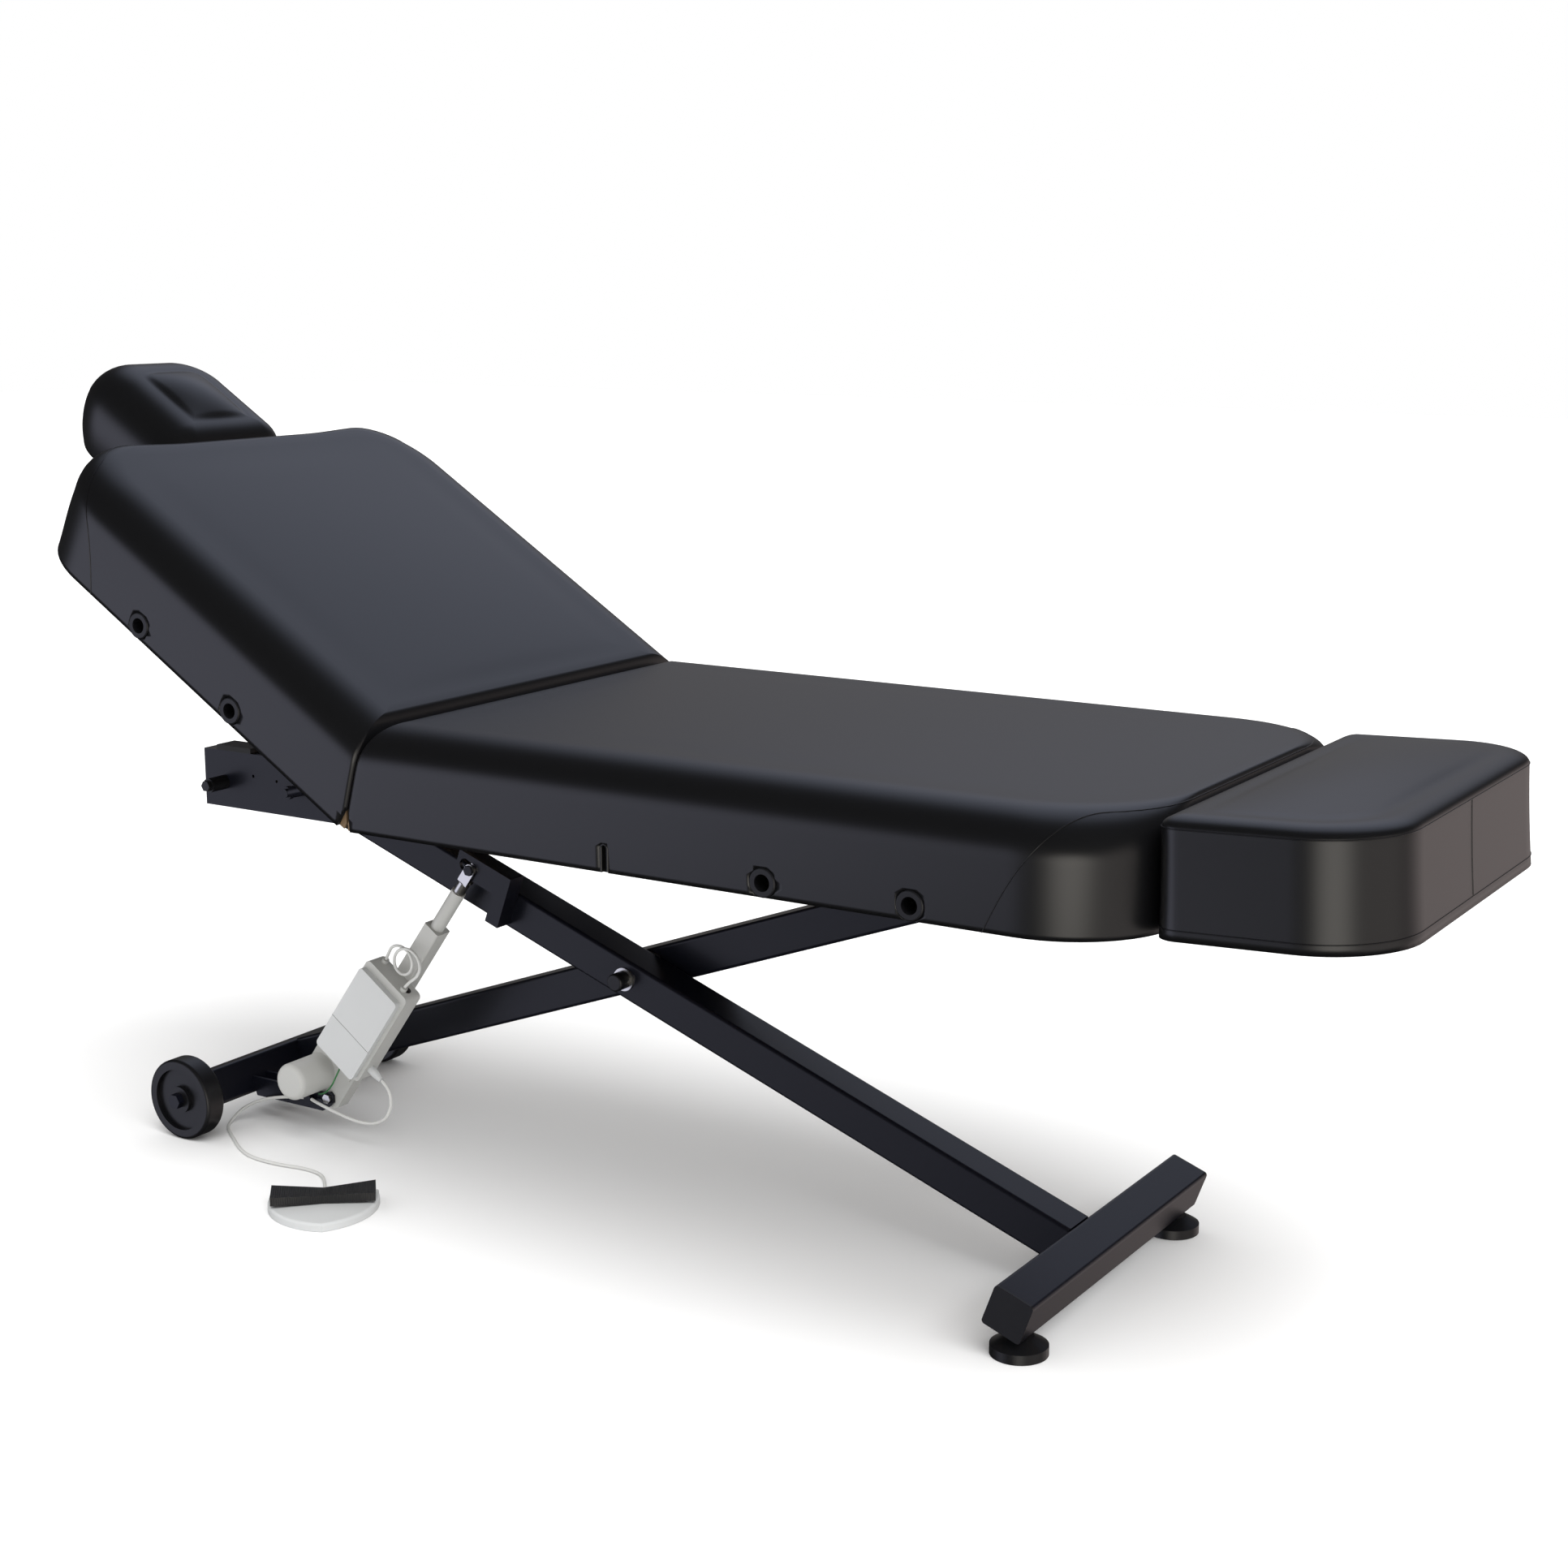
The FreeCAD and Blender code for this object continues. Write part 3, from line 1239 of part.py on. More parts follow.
def save_switch():
    base = half_moon(switch_half, switch_front, switch_back, 0, switch_base)
    top = [e for e in base.Edges if e.BoundBox.ZMin > switch_base - running_gap]
    base = base.makeFillet(switch_round, top)
    side = rocker_post - rocker_pin_radius / 3
    post = block(-side, side, -side, side, switch_base - switch_round, rocker_axis_z + rocker_pin_radius)
    pin = rod_y(0, rocker_axis_z, rocker_pin_radius, -rocker_pin_reach, rocker_pin_reach)
    relief = Part.makeCone(relief_radius, switch_cord_radius + tube_wall / 2, relief_length,
                           vec(0, switch_back, relief_height), across)
    base = base.fuse(moved(post.fuse(pin), 0, rocker_y, 0)).fuse(relief)
    save("foot_switch_base", on_floor(base))
    save("foot_switch_rocker", on_floor(rocker()))


# Cords

def on_floor_point(x, y, z):
    a = radians(switch_turn)
    return (switch_x + x * cos(a) - y * sin(a), switch_y + x * sin(a) + y * cos(a), z)


def from_rear_pin(route):
    """Route points are given along the chair from the motor's rear pin."""
    return [(rear_pin[0] + x, y, z) for x, y, z in route]


def upper_cord_points():
    """From the plug on the control box down to the clip on the motor's bracket."""
    start = motor_point(plug_along, plug_y, box_low - plug_length - plug_relief_length - cord_end_gap)
    end = (clip_x + clip_length + cord_end_gap, upper_cord_route[-1][1] + clip_reach / 2, clip_z)
    return [start, *from_rear_pin(upper_cord_route), end]


def lower_cord_points():
    """From the clip under the wheel bar, over the floor and into the back of the foot switch."""
    start = (clip_x - cord_end_gap, upper_cord_route[-1][1] + clip_reach / 2, clip_z)
    level = switch_cord_radius + floor_gap
    on_ground = [(x, y, level) for x, y in floor_cord_route]
    end = on_floor_point(0, switch_back + relief_length + cord_end_gap, relief_height)
    return [start, *from_rear_pin([*lower_cord_route, *on_ground, switch_cord_landing]), end]


def motor_cord_points():
    """One and a half turns of spare cord above the box, the loops side by side, both ends in its end face."""
    near, far = coil_exit_sides
    foot = gland_length + cord_end_gap
    low = [(foot, near), (gland_length + coil_lead, near - coil_splay)]
    high = [(gland_length + coil_lead, far + coil_splay), (foot, far)]
    ahead = cos(radians(motor_lean))
    below = sin(radians(motor_lean))
    ring = coil_radius / cos(pi / 8)
    turns = []
    for k in range(coil_corners):
        a = pi / 4 * k - pi / 8
        slide = coil_slide * (0.5 - k / (coil_corners - 1))
        turns.append((coil_rise + slide * ahead + ring * sin(a), coil_side - slide * below - ring * cos(a)))
    flat = low + turns + high
    first = coil_end(0)[1]
    last = coil_end(1)[1]
    points = []
    for k, (s, p) in enumerate(flat):
        y = first + (last - first) * k / (len(flat) - 1)
        points.append(motor_point(box_end + s, y, p))
    return points


def earth_wire_points():
    start = motor_point(box_start - cord_end_gap, box_split + earth_start_depth, earth_start_side)
    return [start, *from_rear_pin(earth_wire_route), *from_rear_pin([earth_end])]


def cord_path(points):
    """Straight runs joined by arcs as large as the runs allow, with their radii."""
    corners = [vec(*p) for p in points]
    edges = []
    radii = []
    start = corners[0]
    for before, here, after in zip(corners, corners[1:], corners[2:]):
        back = before.sub(here)
        ahead = after.sub(here)
        cut = cord_bend_share * min(back.Length, ahead.Length)
        back.normalize()
        ahead.normalize()
        turn = pi - back.getAngle(ahead)
        radius = cut / tan(turn / 2)
        first = here.add(back * cut)
        last = here.add(ahead * cut)
        inward = back.add(ahead).normalize()
        middle = here.add(inward * (hypot(radius, cut) - radius))
        edges.append(Part.LineSegment(start, first).toShape())
        edges.append(Part.Arc(first, middle, last).toShape())
        radii.append(radius)
        start = last
    edges.append(Part.LineSegment(start, corners[-1]).toShape())
    return Part.Wire(edges), radii


def cord_tube(name, points, radius):
    path, radii = cord_path(points)
    heading = vec(*points[1]).sub(vec(*points[0]))
    profile = Part.Wire(Part.makeCircle(radius, vec(*points[0]), heading))
    tube = path.makePipeShell([profile], True, False)
    section = pi * radius * radius
    print(name, "length", round(path.Length, 1), "radii", [round(r) for r in radii],
          "volume share", round(tube.Volume / (section * path.Length), 4))
    save(name, tube)


def coil_self_gap(points, radius):
    """Least distance between two turns of the coil, skin to skin, on points along its middle."""
    path, radii = cord_path(points)
    middle = path.discretize(coil_samples)
    step = path.Length / coil_samples
    apart = int(coil_near_share * radius / step)
    gaps = [a.distanceToPoint(b) for k, a in enumerate(middle) for b in middle[k + apart:]]
    print("coil self-gap", round(min(gaps) - 2 * radius, 2))


os.makedirs("parts", exist_ok=True)
save_upholstery()
save_footrest()
save_headrest()
save_hinges()
save_struts()
save_rails()
save_leg_a()
save_feet()
save_leg_b()
save_wheels()
save_motor()
save_switch()
cord_tube("switch_cable_upper", upper_cord_points(), switch_cord_radius)
cord_tube("switch_cable_lower", lower_cord_points(), switch_cord_radius)
cord_tube("motor_cable", motor_cord_points(), motor_cord_radius)
cord_tube("earth_wire", earth_wire_points(), earth_wire_radius)
coil_self_gap(motor_cord_points(), motor_cord_radius)
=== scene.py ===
import json
from math import asin, ceil, cos, floor, pi, radians, sin, tan

import bmesh
import bpy
from mathutils import Matrix, Vector


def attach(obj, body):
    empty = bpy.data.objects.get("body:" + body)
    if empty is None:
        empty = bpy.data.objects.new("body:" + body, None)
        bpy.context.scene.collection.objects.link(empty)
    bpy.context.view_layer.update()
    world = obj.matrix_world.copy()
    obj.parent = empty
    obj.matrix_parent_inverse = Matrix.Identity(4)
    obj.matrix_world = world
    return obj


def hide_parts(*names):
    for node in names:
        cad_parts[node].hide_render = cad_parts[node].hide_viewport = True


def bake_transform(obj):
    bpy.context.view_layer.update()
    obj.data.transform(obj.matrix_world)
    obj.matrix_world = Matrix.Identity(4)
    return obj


bl_info = {
    "name": "Treatment chair",
    "version": (1, 0, 0),
    "blender": (4, 5, 0),
    "location": "View3D > Sidebar > Chair",
    "description": "Builds the looks of an electric treatment chair around its construction",
    "category": "Add Mesh",
}

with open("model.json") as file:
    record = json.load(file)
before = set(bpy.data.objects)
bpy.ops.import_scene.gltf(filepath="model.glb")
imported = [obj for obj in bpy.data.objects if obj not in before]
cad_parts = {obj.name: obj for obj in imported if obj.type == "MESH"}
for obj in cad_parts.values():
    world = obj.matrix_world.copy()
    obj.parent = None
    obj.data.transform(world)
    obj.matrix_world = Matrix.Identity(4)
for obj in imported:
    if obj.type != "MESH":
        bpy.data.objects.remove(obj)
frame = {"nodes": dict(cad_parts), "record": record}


# Settings that a user can change in the sidebar

def length(name, description, default):
    return bpy.props.FloatProperty(name=name, description=description, default=default, min=0.0,
                                   unit="LENGTH", subtype="DISTANCE", precision=4)


def angle(name, description, default):
    return bpy.props.FloatProperty(name=name, description=description, default=radians(default),
                                   unit="ROTATION", subtype="ANGLE")


def colour(name, description, default):
    return bpy.props.FloatVectorProperty(name=name, description=description, default=default, size=3,
                                         min=0.0, max=1.0, subtype="COLOR")


def amount(name, description, default):
    return bpy.props.FloatProperty(name=name, description=description, default=default, min=0.0)


class ChairSizes(bpy.types.PropertyGroup):
    """Sizes of the upholstery, as in the construction."""
    hinge_x: bpy.props.FloatProperty(name="Hinge place", description="Place of the hinge along the chair",
                                     default=-0.2375, unit="LENGTH", subtype="DISTANCE")
    hinge_z: length("Hinge height", "Height of the backrest hinge", 0.588)
    tilt: angle("Backrest angle", "Backrest above level at rest", 32.0)
    half_width: length("Half width", "Half the width of seat and backrest", 0.381)
    seat_length: length("Seat length", "From the hinge to the foot end", 1.158)
    back_length: length("Backrest length", "From the hinge to the head end", 0.695)
    bottom: length("Skirt height", "Height of the skirt's lower edge", 0.578)
    depth: length("Pad depth", "From the skirt's lower edge to the top", 0.147)
    hinge_corner: length("Hinge corner", "Plan radius of the corners at the crease", 0.008)
    foot_corner: length("Foot corner", "Plan radius of the seat's foot corners", 0.140)
    head_corner: length("Head corner", "Plan radius of the backrest's head corners", 0.108)
    skirt: length("Skirt thickness", "Thickness of the upholstered skirt", 0.0088)
    cavity: length("Cavity height", "Height of the hollow below the pad", 0.0745)
    roll: length("Edge roll", "Width of the rolled top edge", 0.072)
    roll_depth: length("Edge drop", "Height of the rolled top edge", 0.054)
    draw_in: length("Draw-in", "How far the skirt draws in at its lower edge", 0.0025)
    crown: length("Crown", "Rise of the pad's middle above its edge", 0.005)
    mesh_step: length("Mesh step", "Spacing of the mesh round the pads", 0.012)
    seam: length("Seam", "Thickness of a sewn seam", 0.0016)
    headrest_length: length("Headrest length", "Along the backrest", 0.260)
    headrest_half: length("Headrest half width", "Half the width of the headrest", 0.131)
    headrest_depth: length("Headrest depth", "Thickness of the headrest", 0.143)
    headrest_drop: length("Headrest drop", "Below the backrest's lower face", 0.004)
    headrest_gap: length("Headrest gap", "Between backrest and headrest", 0.003)
    headrest_outer: length("Headrest outer corner", "Plan radius of the outer corners", 0.092)
    headrest_inner: length("Headrest inner corner", "Plan radius of the corners at the backrest", 0.050)
    headrest_roll: length("Headrest roll", "Width and height of the rolled top edge", 0.066)
    headrest_draw_in: length("Headrest draw-in", "How far the side draws in at its lower edge", 0.020)
    headrest_crown: length("Headrest crown", "Rise of the middle above the edge", 0.016)
    footrest_length: length("Footrest length", "Along the chair", 0.272)
    footrest_half: length("Footrest half width", "Half the width of the footrest", 0.312)
    footrest_depth: length("Footrest depth", "Thickness of the footrest", 0.143)
    footrest_rise: length("Footrest rise", "Above the seat's skirt edge", 0.004)
    footrest_tilt: angle("Footrest tilt", "How far the footrest's outer end is raised", 2.4)
    footrest_gap: length("Footrest gap", "Between seat and footrest", 0.005)
    footrest_outer: length("Footrest outer corner", "Plan radius of the outer corners", 0.143)
    footrest_inner: length("Footrest inner corner", "Plan radius of the corners at the seat", 0.026)
    footrest_roll: length("Footrest roll", "Width of the rolled top edge", 0.032)
    footrest_roll_depth: length("Footrest edge drop", "Height of the rolled top edge", 0.014)
    footrest_flare: length("Footrest flare", "How far the side stands out at its lower edge", 0.004)
    footrest_crown: length("Footrest crown", "Rise of the middle above the edge", 0.013)


class ChairCords(bpy.types.PropertyGroup):
    """Sizes of the cords."""
    switch_cord: length("Switch cord", "Diameter of the foot switch cord", 0.005)
    motor_cord: length("Motor cord", "Diameter of the coiled cord", 0.0046)
    earth_wire: length("Earth wire", "Diameter of the green wire", 0.0025)


class ChairColours(bpy.types.PropertyGroup):
    """Colours of the finishes."""
    vinyl: colour("Vinyl", "Upholstery", (0.0036, 0.0036, 0.0042))
    paint: colour("Frame paint", "Powder coat of the frame", (0.0042, 0.0046, 0.0085))
    plastic: colour("Black plastic", "Caps, wheels, ports and treadle", (0.006, 0.006, 0.007))
    rubber: colour("Rubber", "Bumpers", (0.014, 0.014, 0.015))
    zinc: colour("Zinc", "Plated pins and washers", (0.62, 0.61, 0.58))
    motor: colour("Motor grey", "Motor and housing", (0.50, 0.50, 0.48))
    lid: colour("Lid white", "Lid and foot switch base", (0.58, 0.59, 0.59))
    cord: colour("Cord", "Cords of the switch and motor", (0.66, 0.66, 0.64))
    green: colour("Earth green", "Green wire", (0.03, 0.17, 0.05))
    # Wood colour darkened below the wood's own tone: painted shade for the inside of the hinge notches
    wood: colour("Wood", "Frames and decks", (0.16, 0.10, 0.05))
    floor: colour("Floor", "Floor and backdrop", (0.96, 0.96, 0.96))


class ChairStage(bpy.types.PropertyGroup):
    """Camera and light."""
    camera_place: bpy.props.FloatVectorProperty(name="Camera", description="Place of the camera",
                                                default=(2.0062, -2.8148, 1.3246), unit="LENGTH")
    camera_yaw: angle("Camera yaw", "Turn of the camera about the vertical", 32.236)
    camera_pitch: angle("Camera pitch", "Camera below level", 11.80)
    lens: amount("Lens", "Focal length in millimetres", 56.4)
    sensor: amount("Sensor", "Width of the camera's sensor in millimetres", 36.0)
    reach: length("Camera reach", "Furthest distance that the camera shows", 100.0)
    sky: amount("Sky", "Strength of the even light", 0.88)
    glossy_sky: amount("Reflected sky", "Strength of the even light in reflections", 0.03)
    key: amount("Key light", "Strength of the soft light from above", 2.4)
    key_place: bpy.props.FloatVectorProperty(name="Key place", description="Place of the light from above",
                                             default=(1.8, -0.8, 3.0), unit="LENGTH")
    key_spread: angle("Key spread", "Softness of the light from above", 50.0)
    floor_size: length("Floor", "Width of the floor", 40.0)
    floor_drop: length("Floor drop", "Clearance of the floor below the feet", 0.0005)


def sizes():
    return bpy.context.scene.chair_sizes


def colours():
    return bpy.context.scene.chair_colours


# Materials, their names set apart from those that come with the frame

FINISH = "chair_"


def node_material(name, base, roughness, metallic=0.0, coat=0.0, specular=0.5):
    """Plain surface with the numbers set on its shader."""
    material = bpy.data.materials.new(FINISH + name)
    material.use_nodes = True
    shader = material.node_tree.nodes["Principled BSDF"]
    shader.inputs["Base Color"].default_value = (*base, 1.0)
    shader.inputs["Roughness"].default_value = roughness
    shader.inputs["Metallic"].default_value = metallic
    shader.inputs["Coat Weight"].default_value = coat
    shader.inputs["Specular IOR Level"].default_value = specular
    return material


def add_grain(material, scale, strength, depth, detail=2.0):
    """Fine uneven surface in object space."""
    nodes = material.node_tree.nodes
    links = material.node_tree.links
    place = nodes.new("ShaderNodeTexCoord")
    noise = nodes.new("ShaderNodeTexNoise")
    bump = nodes.new("ShaderNodeBump")
    noise.inputs["Scale"].default_value = scale
    noise.inputs["Detail"].default_value = detail
    bump.inputs["Strength"].default_value = strength
    bump.inputs["Distance"].default_value = depth
    links.new(place.outputs["Object"], noise.inputs["Vector"])
    links.new(noise.outputs["Fac"], bump.inputs["Height"])
    links.new(bump.outputs["Normal"], nodes["Principled BSDF"].inputs["Normal"])


def vinyl_material():
    material = node_material("vinyl", colours().vinyl, roughness=0.36)
    add_grain(material, scale=700.0, strength=0.03, depth=0.0002)
    return material


def paint_material(name="frame_paint"):
    material = node_material(name, colours().paint, roughness=0.34, coat=0.03, specular=0.24)
    add_grain(material, scale=350.0, strength=0.05, depth=0.0005)
    return material


def plastic_material():
    material = node_material("black_plastic", colours().plastic, roughness=0.36, specular=0.3)
    add_grain(material, scale=500.0, strength=0.03, depth=0.0003)
    return material


def rubber_material():
    material = node_material("black_rubber", colours().rubber, roughness=0.7)
    add_grain(material, scale=500.0, strength=0.1, depth=0.0004)
    return material


def zinc_material():
    material = node_material("zinc", colours().zinc, roughness=0.32, metallic=1.0)
    add_grain(material, scale=260.0, strength=0.04, depth=0.0003)
    return material


def moulded_material(name, base):
    material = node_material(name, base, roughness=0.5)
    add_grain(material, scale=700.0, strength=0.05, depth=0.0003)
    return material


# Wood with painted shade: its darkened colour stands for the shade inside the hinge notches
def wood_painted_shade_material():
    material = node_material("wood", colours().wood, roughness=0.65)
    add_grain(material, scale=60.0, strength=0.2, depth=0.0008, detail=6.0)
    return material


MAKERS = {
    "vinyl": vinyl_material,
    "frame_paint": paint_material,
    "strut_black": lambda: paint_material("strut_black"),
    "black_plastic": plastic_material,
    "black_rubber": rubber_material,
    "zinc": zinc_material,
    "motor_plastic": lambda: moulded_material("motor_plastic", colours().motor),
    "motor_tube_metal": lambda: moulded_material("motor_tube_metal", colours().motor),
    "white_plastic": lambda: moulded_material("white_plastic", colours().lid),
    "cord_white": lambda: moulded_material("cord_white", colours().cord),
    "wire_green": lambda: moulded_material("wire_green", colours().green),
    "wood": wood_painted_shade_material,
}


def finish_for(slot):
    return bpy.data.materials.get(FINISH + slot) or MAKERS[slot]()


def dress(piece, slot):
    """Give a piece the one finish made for its slot."""
    piece.data.materials.clear()
    piece.data.materials.append(finish_for(slot))


# Meshes

WELD = 1e-5


def new_object(name, mesh):
    piece = bpy.data.objects.new(name, mesh)
    bpy.context.scene.collection.objects.link(piece)
    return piece


def mesh_object(name, bm):
    """New object from a finished bmesh, shaded smooth, its faces outward."""
    bmesh.ops.remove_doubles(bm, verts=bm.verts, dist=WELD)
    bmesh.ops.recalc_face_normals(bm, faces=bm.faces)
    mesh = bpy.data.meshes.new(name)
    bm.to_mesh(mesh)
    bm.free()
    mesh.shade_smooth()
    return new_object(name, mesh)


def spread(start, end, count):
    """Evenly spaced values from start, without the end."""
    return [start + (end - start) * k / count for k in range(count)]


def plan_ring(x0, x1, half, r0, r1, steps):
    """Rounded rectangle as (x, y) points; each count in steps stays the same for every ring."""
    side, corner, end = steps
    points = [(x, -half) for x in spread(x0 + r0, x1 - r1, side)]
    points += arc(x1 - r1, -half + r1, r1, -pi / 2, corner)
    points += [(x1, y) for y in spread(-half + r1, half - r1, end)]
    points += arc(x1 - r1, half - r1, r1, 0, corner)
    points += [(x, half) for x in spread(x1 - r1, x0 + r0, side)]
    points += arc(x0 + r0, half - r0, r0, pi / 2, corner)
    points += [(x0, y) for y in spread(half - r0, -half + r0, end)]
    points += arc(x0 + r0, -half + r0, r0, pi, corner)
    return points


def arc(x, y, radius, start, count):
    """Quarter turn of points, without its end."""
    return [(x + radius * cos(a), y + radius * sin(a)) for a in spread(start, start + pi / 2, count)]


CLOSED = 0.0005
CAVITY_BEND = 0.004
CORNER_STEPS = 14
SIDE_STEPS = 28
CROWN_STEPS = 18
CORNER_LIMIT_SHARE = 0.8
SKIRT_SHARES = (0.5, 0.05)
HEM_ROUND_SHARE = 0.3
CROWN_EASE_SHARE = 0.25


class Pad:
    """An upholstered block drawn level: rings of a rounded plan at rising heights.

    plan holds both ends, half the width and the corner radius at each end. roll_shares says how much of
    the rolled edge's width each end has. foot_round says how much rounder the corners of the second end
    grow along the roll.
    """

    def __init__(self, plan, bottom, depth, roll, drop, draw_in, crown,
                 roll_shares=(1.0, 1.0), foot_round=0.0):
        x0, x1, half = plan[:3]
        step = sizes().mesh_step
        self.plan = plan
        self.bottom = bottom
        self.depth = depth
        self.roll = roll
        self.drop = drop
        self.draw_in = draw_in
        self.crown = crown
        self.roll_shares = roll_shares
        self.foot_round = foot_round
        self.steps = (ceil((x1 - x0) / step), CORNER_STEPS, ceil(2 * half / step))

    def ring(self, inset, height, edge):
        """One ring; edge is the part of the inset that belongs to the rolled edge."""
        x0, x1, half, r0, r1 = self.plan
        rest = inset - edge
        i0 = rest + edge * self.roll_shares[0]
        i1 = rest + edge * self.roll_shares[1]
        limit = min(half - inset, (x1 - x0 - i0 - i1) / 2) * CORNER_LIMIT_SHARE
        q0 = min(max(r0 - i0, CLOSED), limit)
        q1 = min(max(r1 - i1 + edge * self.foot_round, CLOSED), limit)
        flat = plan_ring(x0 + i0, x1 - i1, half - inset, q0, q1, self.steps)
        return [Vector((x, y, height)) for x, y in flat]

    def outside(self, share):
        """Inset and height up the side: share 0 at the hem, a half where the roll begins, 1 where it ends."""
        top = self.bottom + self.depth
        wall = self.depth - self.drop
        if share < 0.5:
            t = share * 2
            return self.draw_in * (1 - t) ** 2, self.bottom + wall * t
        a = (share - 0.5) * pi
        return self.roll * (1 - cos(a)), top - self.drop * (1 - sin(a))

    def rings(self):
        """All rings from the middle of the hollow, down inside the skirt, up outside and over the top."""
        s = sizes()
        x0, x1, half = self.plan[:3]
        most = min(half, (x1 - x0) / 2) - CLOSED
        roof = self.bottom + s.cavity
        found = []
        inner = self.draw_in + s.skirt
        for inset in (most, (inner + most) / 2, inner + CAVITY_BEND, inner):
            found.append(self.ring(inset, roof, 0.0))
        for share in SKIRT_SHARES:
            found.append(self.ring(inner, self.bottom + s.cavity * share, 0.0))
        found.append(self.ring(inner - s.skirt * HEM_ROUND_SHARE, self.bottom, 0.0))
        for k in range(SIDE_STEPS + 1):
            inset, height = self.outside(k / SIDE_STEPS)
            found.append(self.ring(inset, height, inset))
        spare = self.roll * (2 - sum(self.roll_shares))
        middle = min(half, (x1 - x0 + spare) / 2) - CLOSED
        for k in range(1, CROWN_STEPS + 1):
            t = k / CROWN_STEPS
            inset = self.roll + (middle - self.roll) * t
            ring = self.ring(inset, self.bottom + self.depth, self.roll)
            for point in ring:
                point.z += self.swell(point) * smooth(t / CROWN_EASE_SHARE)
            found.append(ring)
        return found

    def swell(self, point):
        """Rise of the crown, even along both lengths of the pad."""
        x0, x1, half = self.plan[:3]
        low = x0 + self.roll * self.roll_shares[0]
        high = x1 - self.roll * self.roll_shares[1]
        u = (2 * point.x - low - high) / (high - low)
        v = point.y / (half - self.roll)
        return self.crown * max(1 - u * u, 0.0) * max(1 - v * v, 0.0)

    def build(self, name, reshape):
        """Mesh of the pad, with every point passed through reshape."""
        bm = bmesh.new()
        rows = [[bm.verts.new(reshape(p)) for p in ring] for ring in self.rings()]
        for low, high in zip(rows, rows[1:]):
            n = len(low)
            for k in range(n):
                bm.faces.new((low[k], low[(k + 1) % n], high[(k + 1) % n], high[k]))
        for ring in (rows[0], rows[-1]):
            bmesh.ops.remove_doubles(bm, verts=ring, dist=3 * CLOSED)
        return mesh_object(name, bm)

    def side_point(self, where, share):
        """Point on the outside: where counts along the ring, share up the side."""
        inset, height = self.outside(share)
        ring = self.ring(inset, height, inset)
        k = floor(where)
        n = len(ring)
        return ring[k % n].lerp(ring[(k + 1) % n], where - k)

    def share_at(self, rise):
        """How far up the side a share of the whole depth lies."""
        drop = self.depth * (1 - rise)
        if drop >= self.drop:
            return (self.depth - drop) / (self.depth - self.drop) / 2
        return 0.5 + asin(1 - drop / self.drop) / pi


def carve(piece, cutters):
    """Take the cutters out of a piece and throw them away."""
    for cutter in cutters:
        cut = piece.modifiers.new("cut", "BOOLEAN")
        cut.operation = "DIFFERENCE"
        cut.solver = "EXACT"
        cut.object = cutter
    bpy.context.view_layer.update()
    done = piece.evaluated_get(bpy.context.evaluated_depsgraph_get())
    mesh = bpy.data.meshes.new_from_object(done)
    piece.modifiers.clear()
    old = piece.data
    piece.data = mesh
    bpy.data.meshes.remove(old)
    for cutter in cutters:
        spare = cutter.data
        bpy.data.objects.remove(cutter)
        bpy.data.meshes.remove(spare)
    piece.data.shade_smooth()


ROUND_SEGMENTS = 40
POST_SEGMENTS = 32


def rod(name, middle, axis, radius, run, segments):
    """Closed round bar along one axis; middle places it."""
    bm = bmesh.new()
    bmesh.ops.create_cone(bm, cap_ends=True, segments=segments, radius1=radius, radius2=radius, depth=run,
                          matrix=middle @ Matrix.Rotation(pi / 2, 4, axis))
    return mesh_object(name, bm)


def round_cutter(x, z, radius, y0, y1):
    """Bar across the chair, for a round opening."""
    middle = Matrix.Translation((x, (y0 + y1) / 2, z))
    return rod("cutter", middle, "X", radius, abs(y1 - y0), ROUND_SEGMENTS)


def block_cutter(low, high):
    """Box between two corners, for a square opening."""
    bm = bmesh.new()
    middle = (Vector(low) + Vector(high)) / 2
    span = Vector(high) - Vector(low)
    bmesh.ops.create_cube(bm, size=1.0, matrix=Matrix.Translation(middle) @ Matrix.Diagonal((*span, 1.0)))
    return mesh_object("cutter", bm)


def tilt_matrix():
    """Raises what was drawn level with the seat into the backrest's place at rest."""
    s = sizes()
    centre = Vector((s.hinge_x, 0, s.hinge_z))
    return Matrix.Translation(centre) @ Matrix.Rotation(s.tilt, 4, "Y") @ Matrix.Translation(-centre)


def smooth(t):
    """Ease from 0 to 1, level at both ends."""
    t = min(max(t, 0.0), 1.0)
    return t * t * (3 - 2 * t)


CREASE_REACH = 0.16


def crease_shift(point, away):
    """Lean a pad's end onto the plane of the crease; away is 1 for the seat, -1 for the backrest."""
    s = sizes()
    share = 1 - smooth((point.x - s.hinge_x) * away / CREASE_REACH)
    lean = (point.z - s.hinge_z) * tan(s.tilt / 2)
    return Vector((point.x + away * lean * share, point.y, point.z))


def across_crease(piece):
    """Bake a pad's placement into its mesh."""
    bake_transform(piece)


# Openings and seams of the upholstery, in metres

PORT_CUT = 0.0140
PORT_FLANGE = 0.0193
PORT_SEAT = 0.004
PORT_HEIGHT = 0.019
SEAT_PORTS = (0.677, 0.882)
BACK_PORTS = (0.245, 0.446)
POST_RADIUS = 0.0143
POST_HEIGHT = 0.028
FOOT_POSTS = 0.190
HEAD_POSTS = 0.070
SLIT = {"place": 0.439, "width": 0.010, "height": 0.037, "recess": 0.0062, "lip": 0.004, "steps": 6}
NOTCH = {"width": 0.020, "height": 0.034, "recess": 0.013, "arch_share": 0.499}
OVER = 0.03
SEAM_STEPS = 32
UPRIGHT_STEPS = 20
HEM_SHARE = 0.05
WELT_SHARE = 0.5
UPRIGHT_SHARE = 0.45
HEAD_REACH = 0.14
HEAD_BOW = 0.016
HEAD_CORNER = 0.007
HEAD_RISE_SHARE = 0.6
ARCH_START = -0.040
ARCH_END = 0.100
ARCH_POWER = 2.2
EDGE_SHARE = 0.965


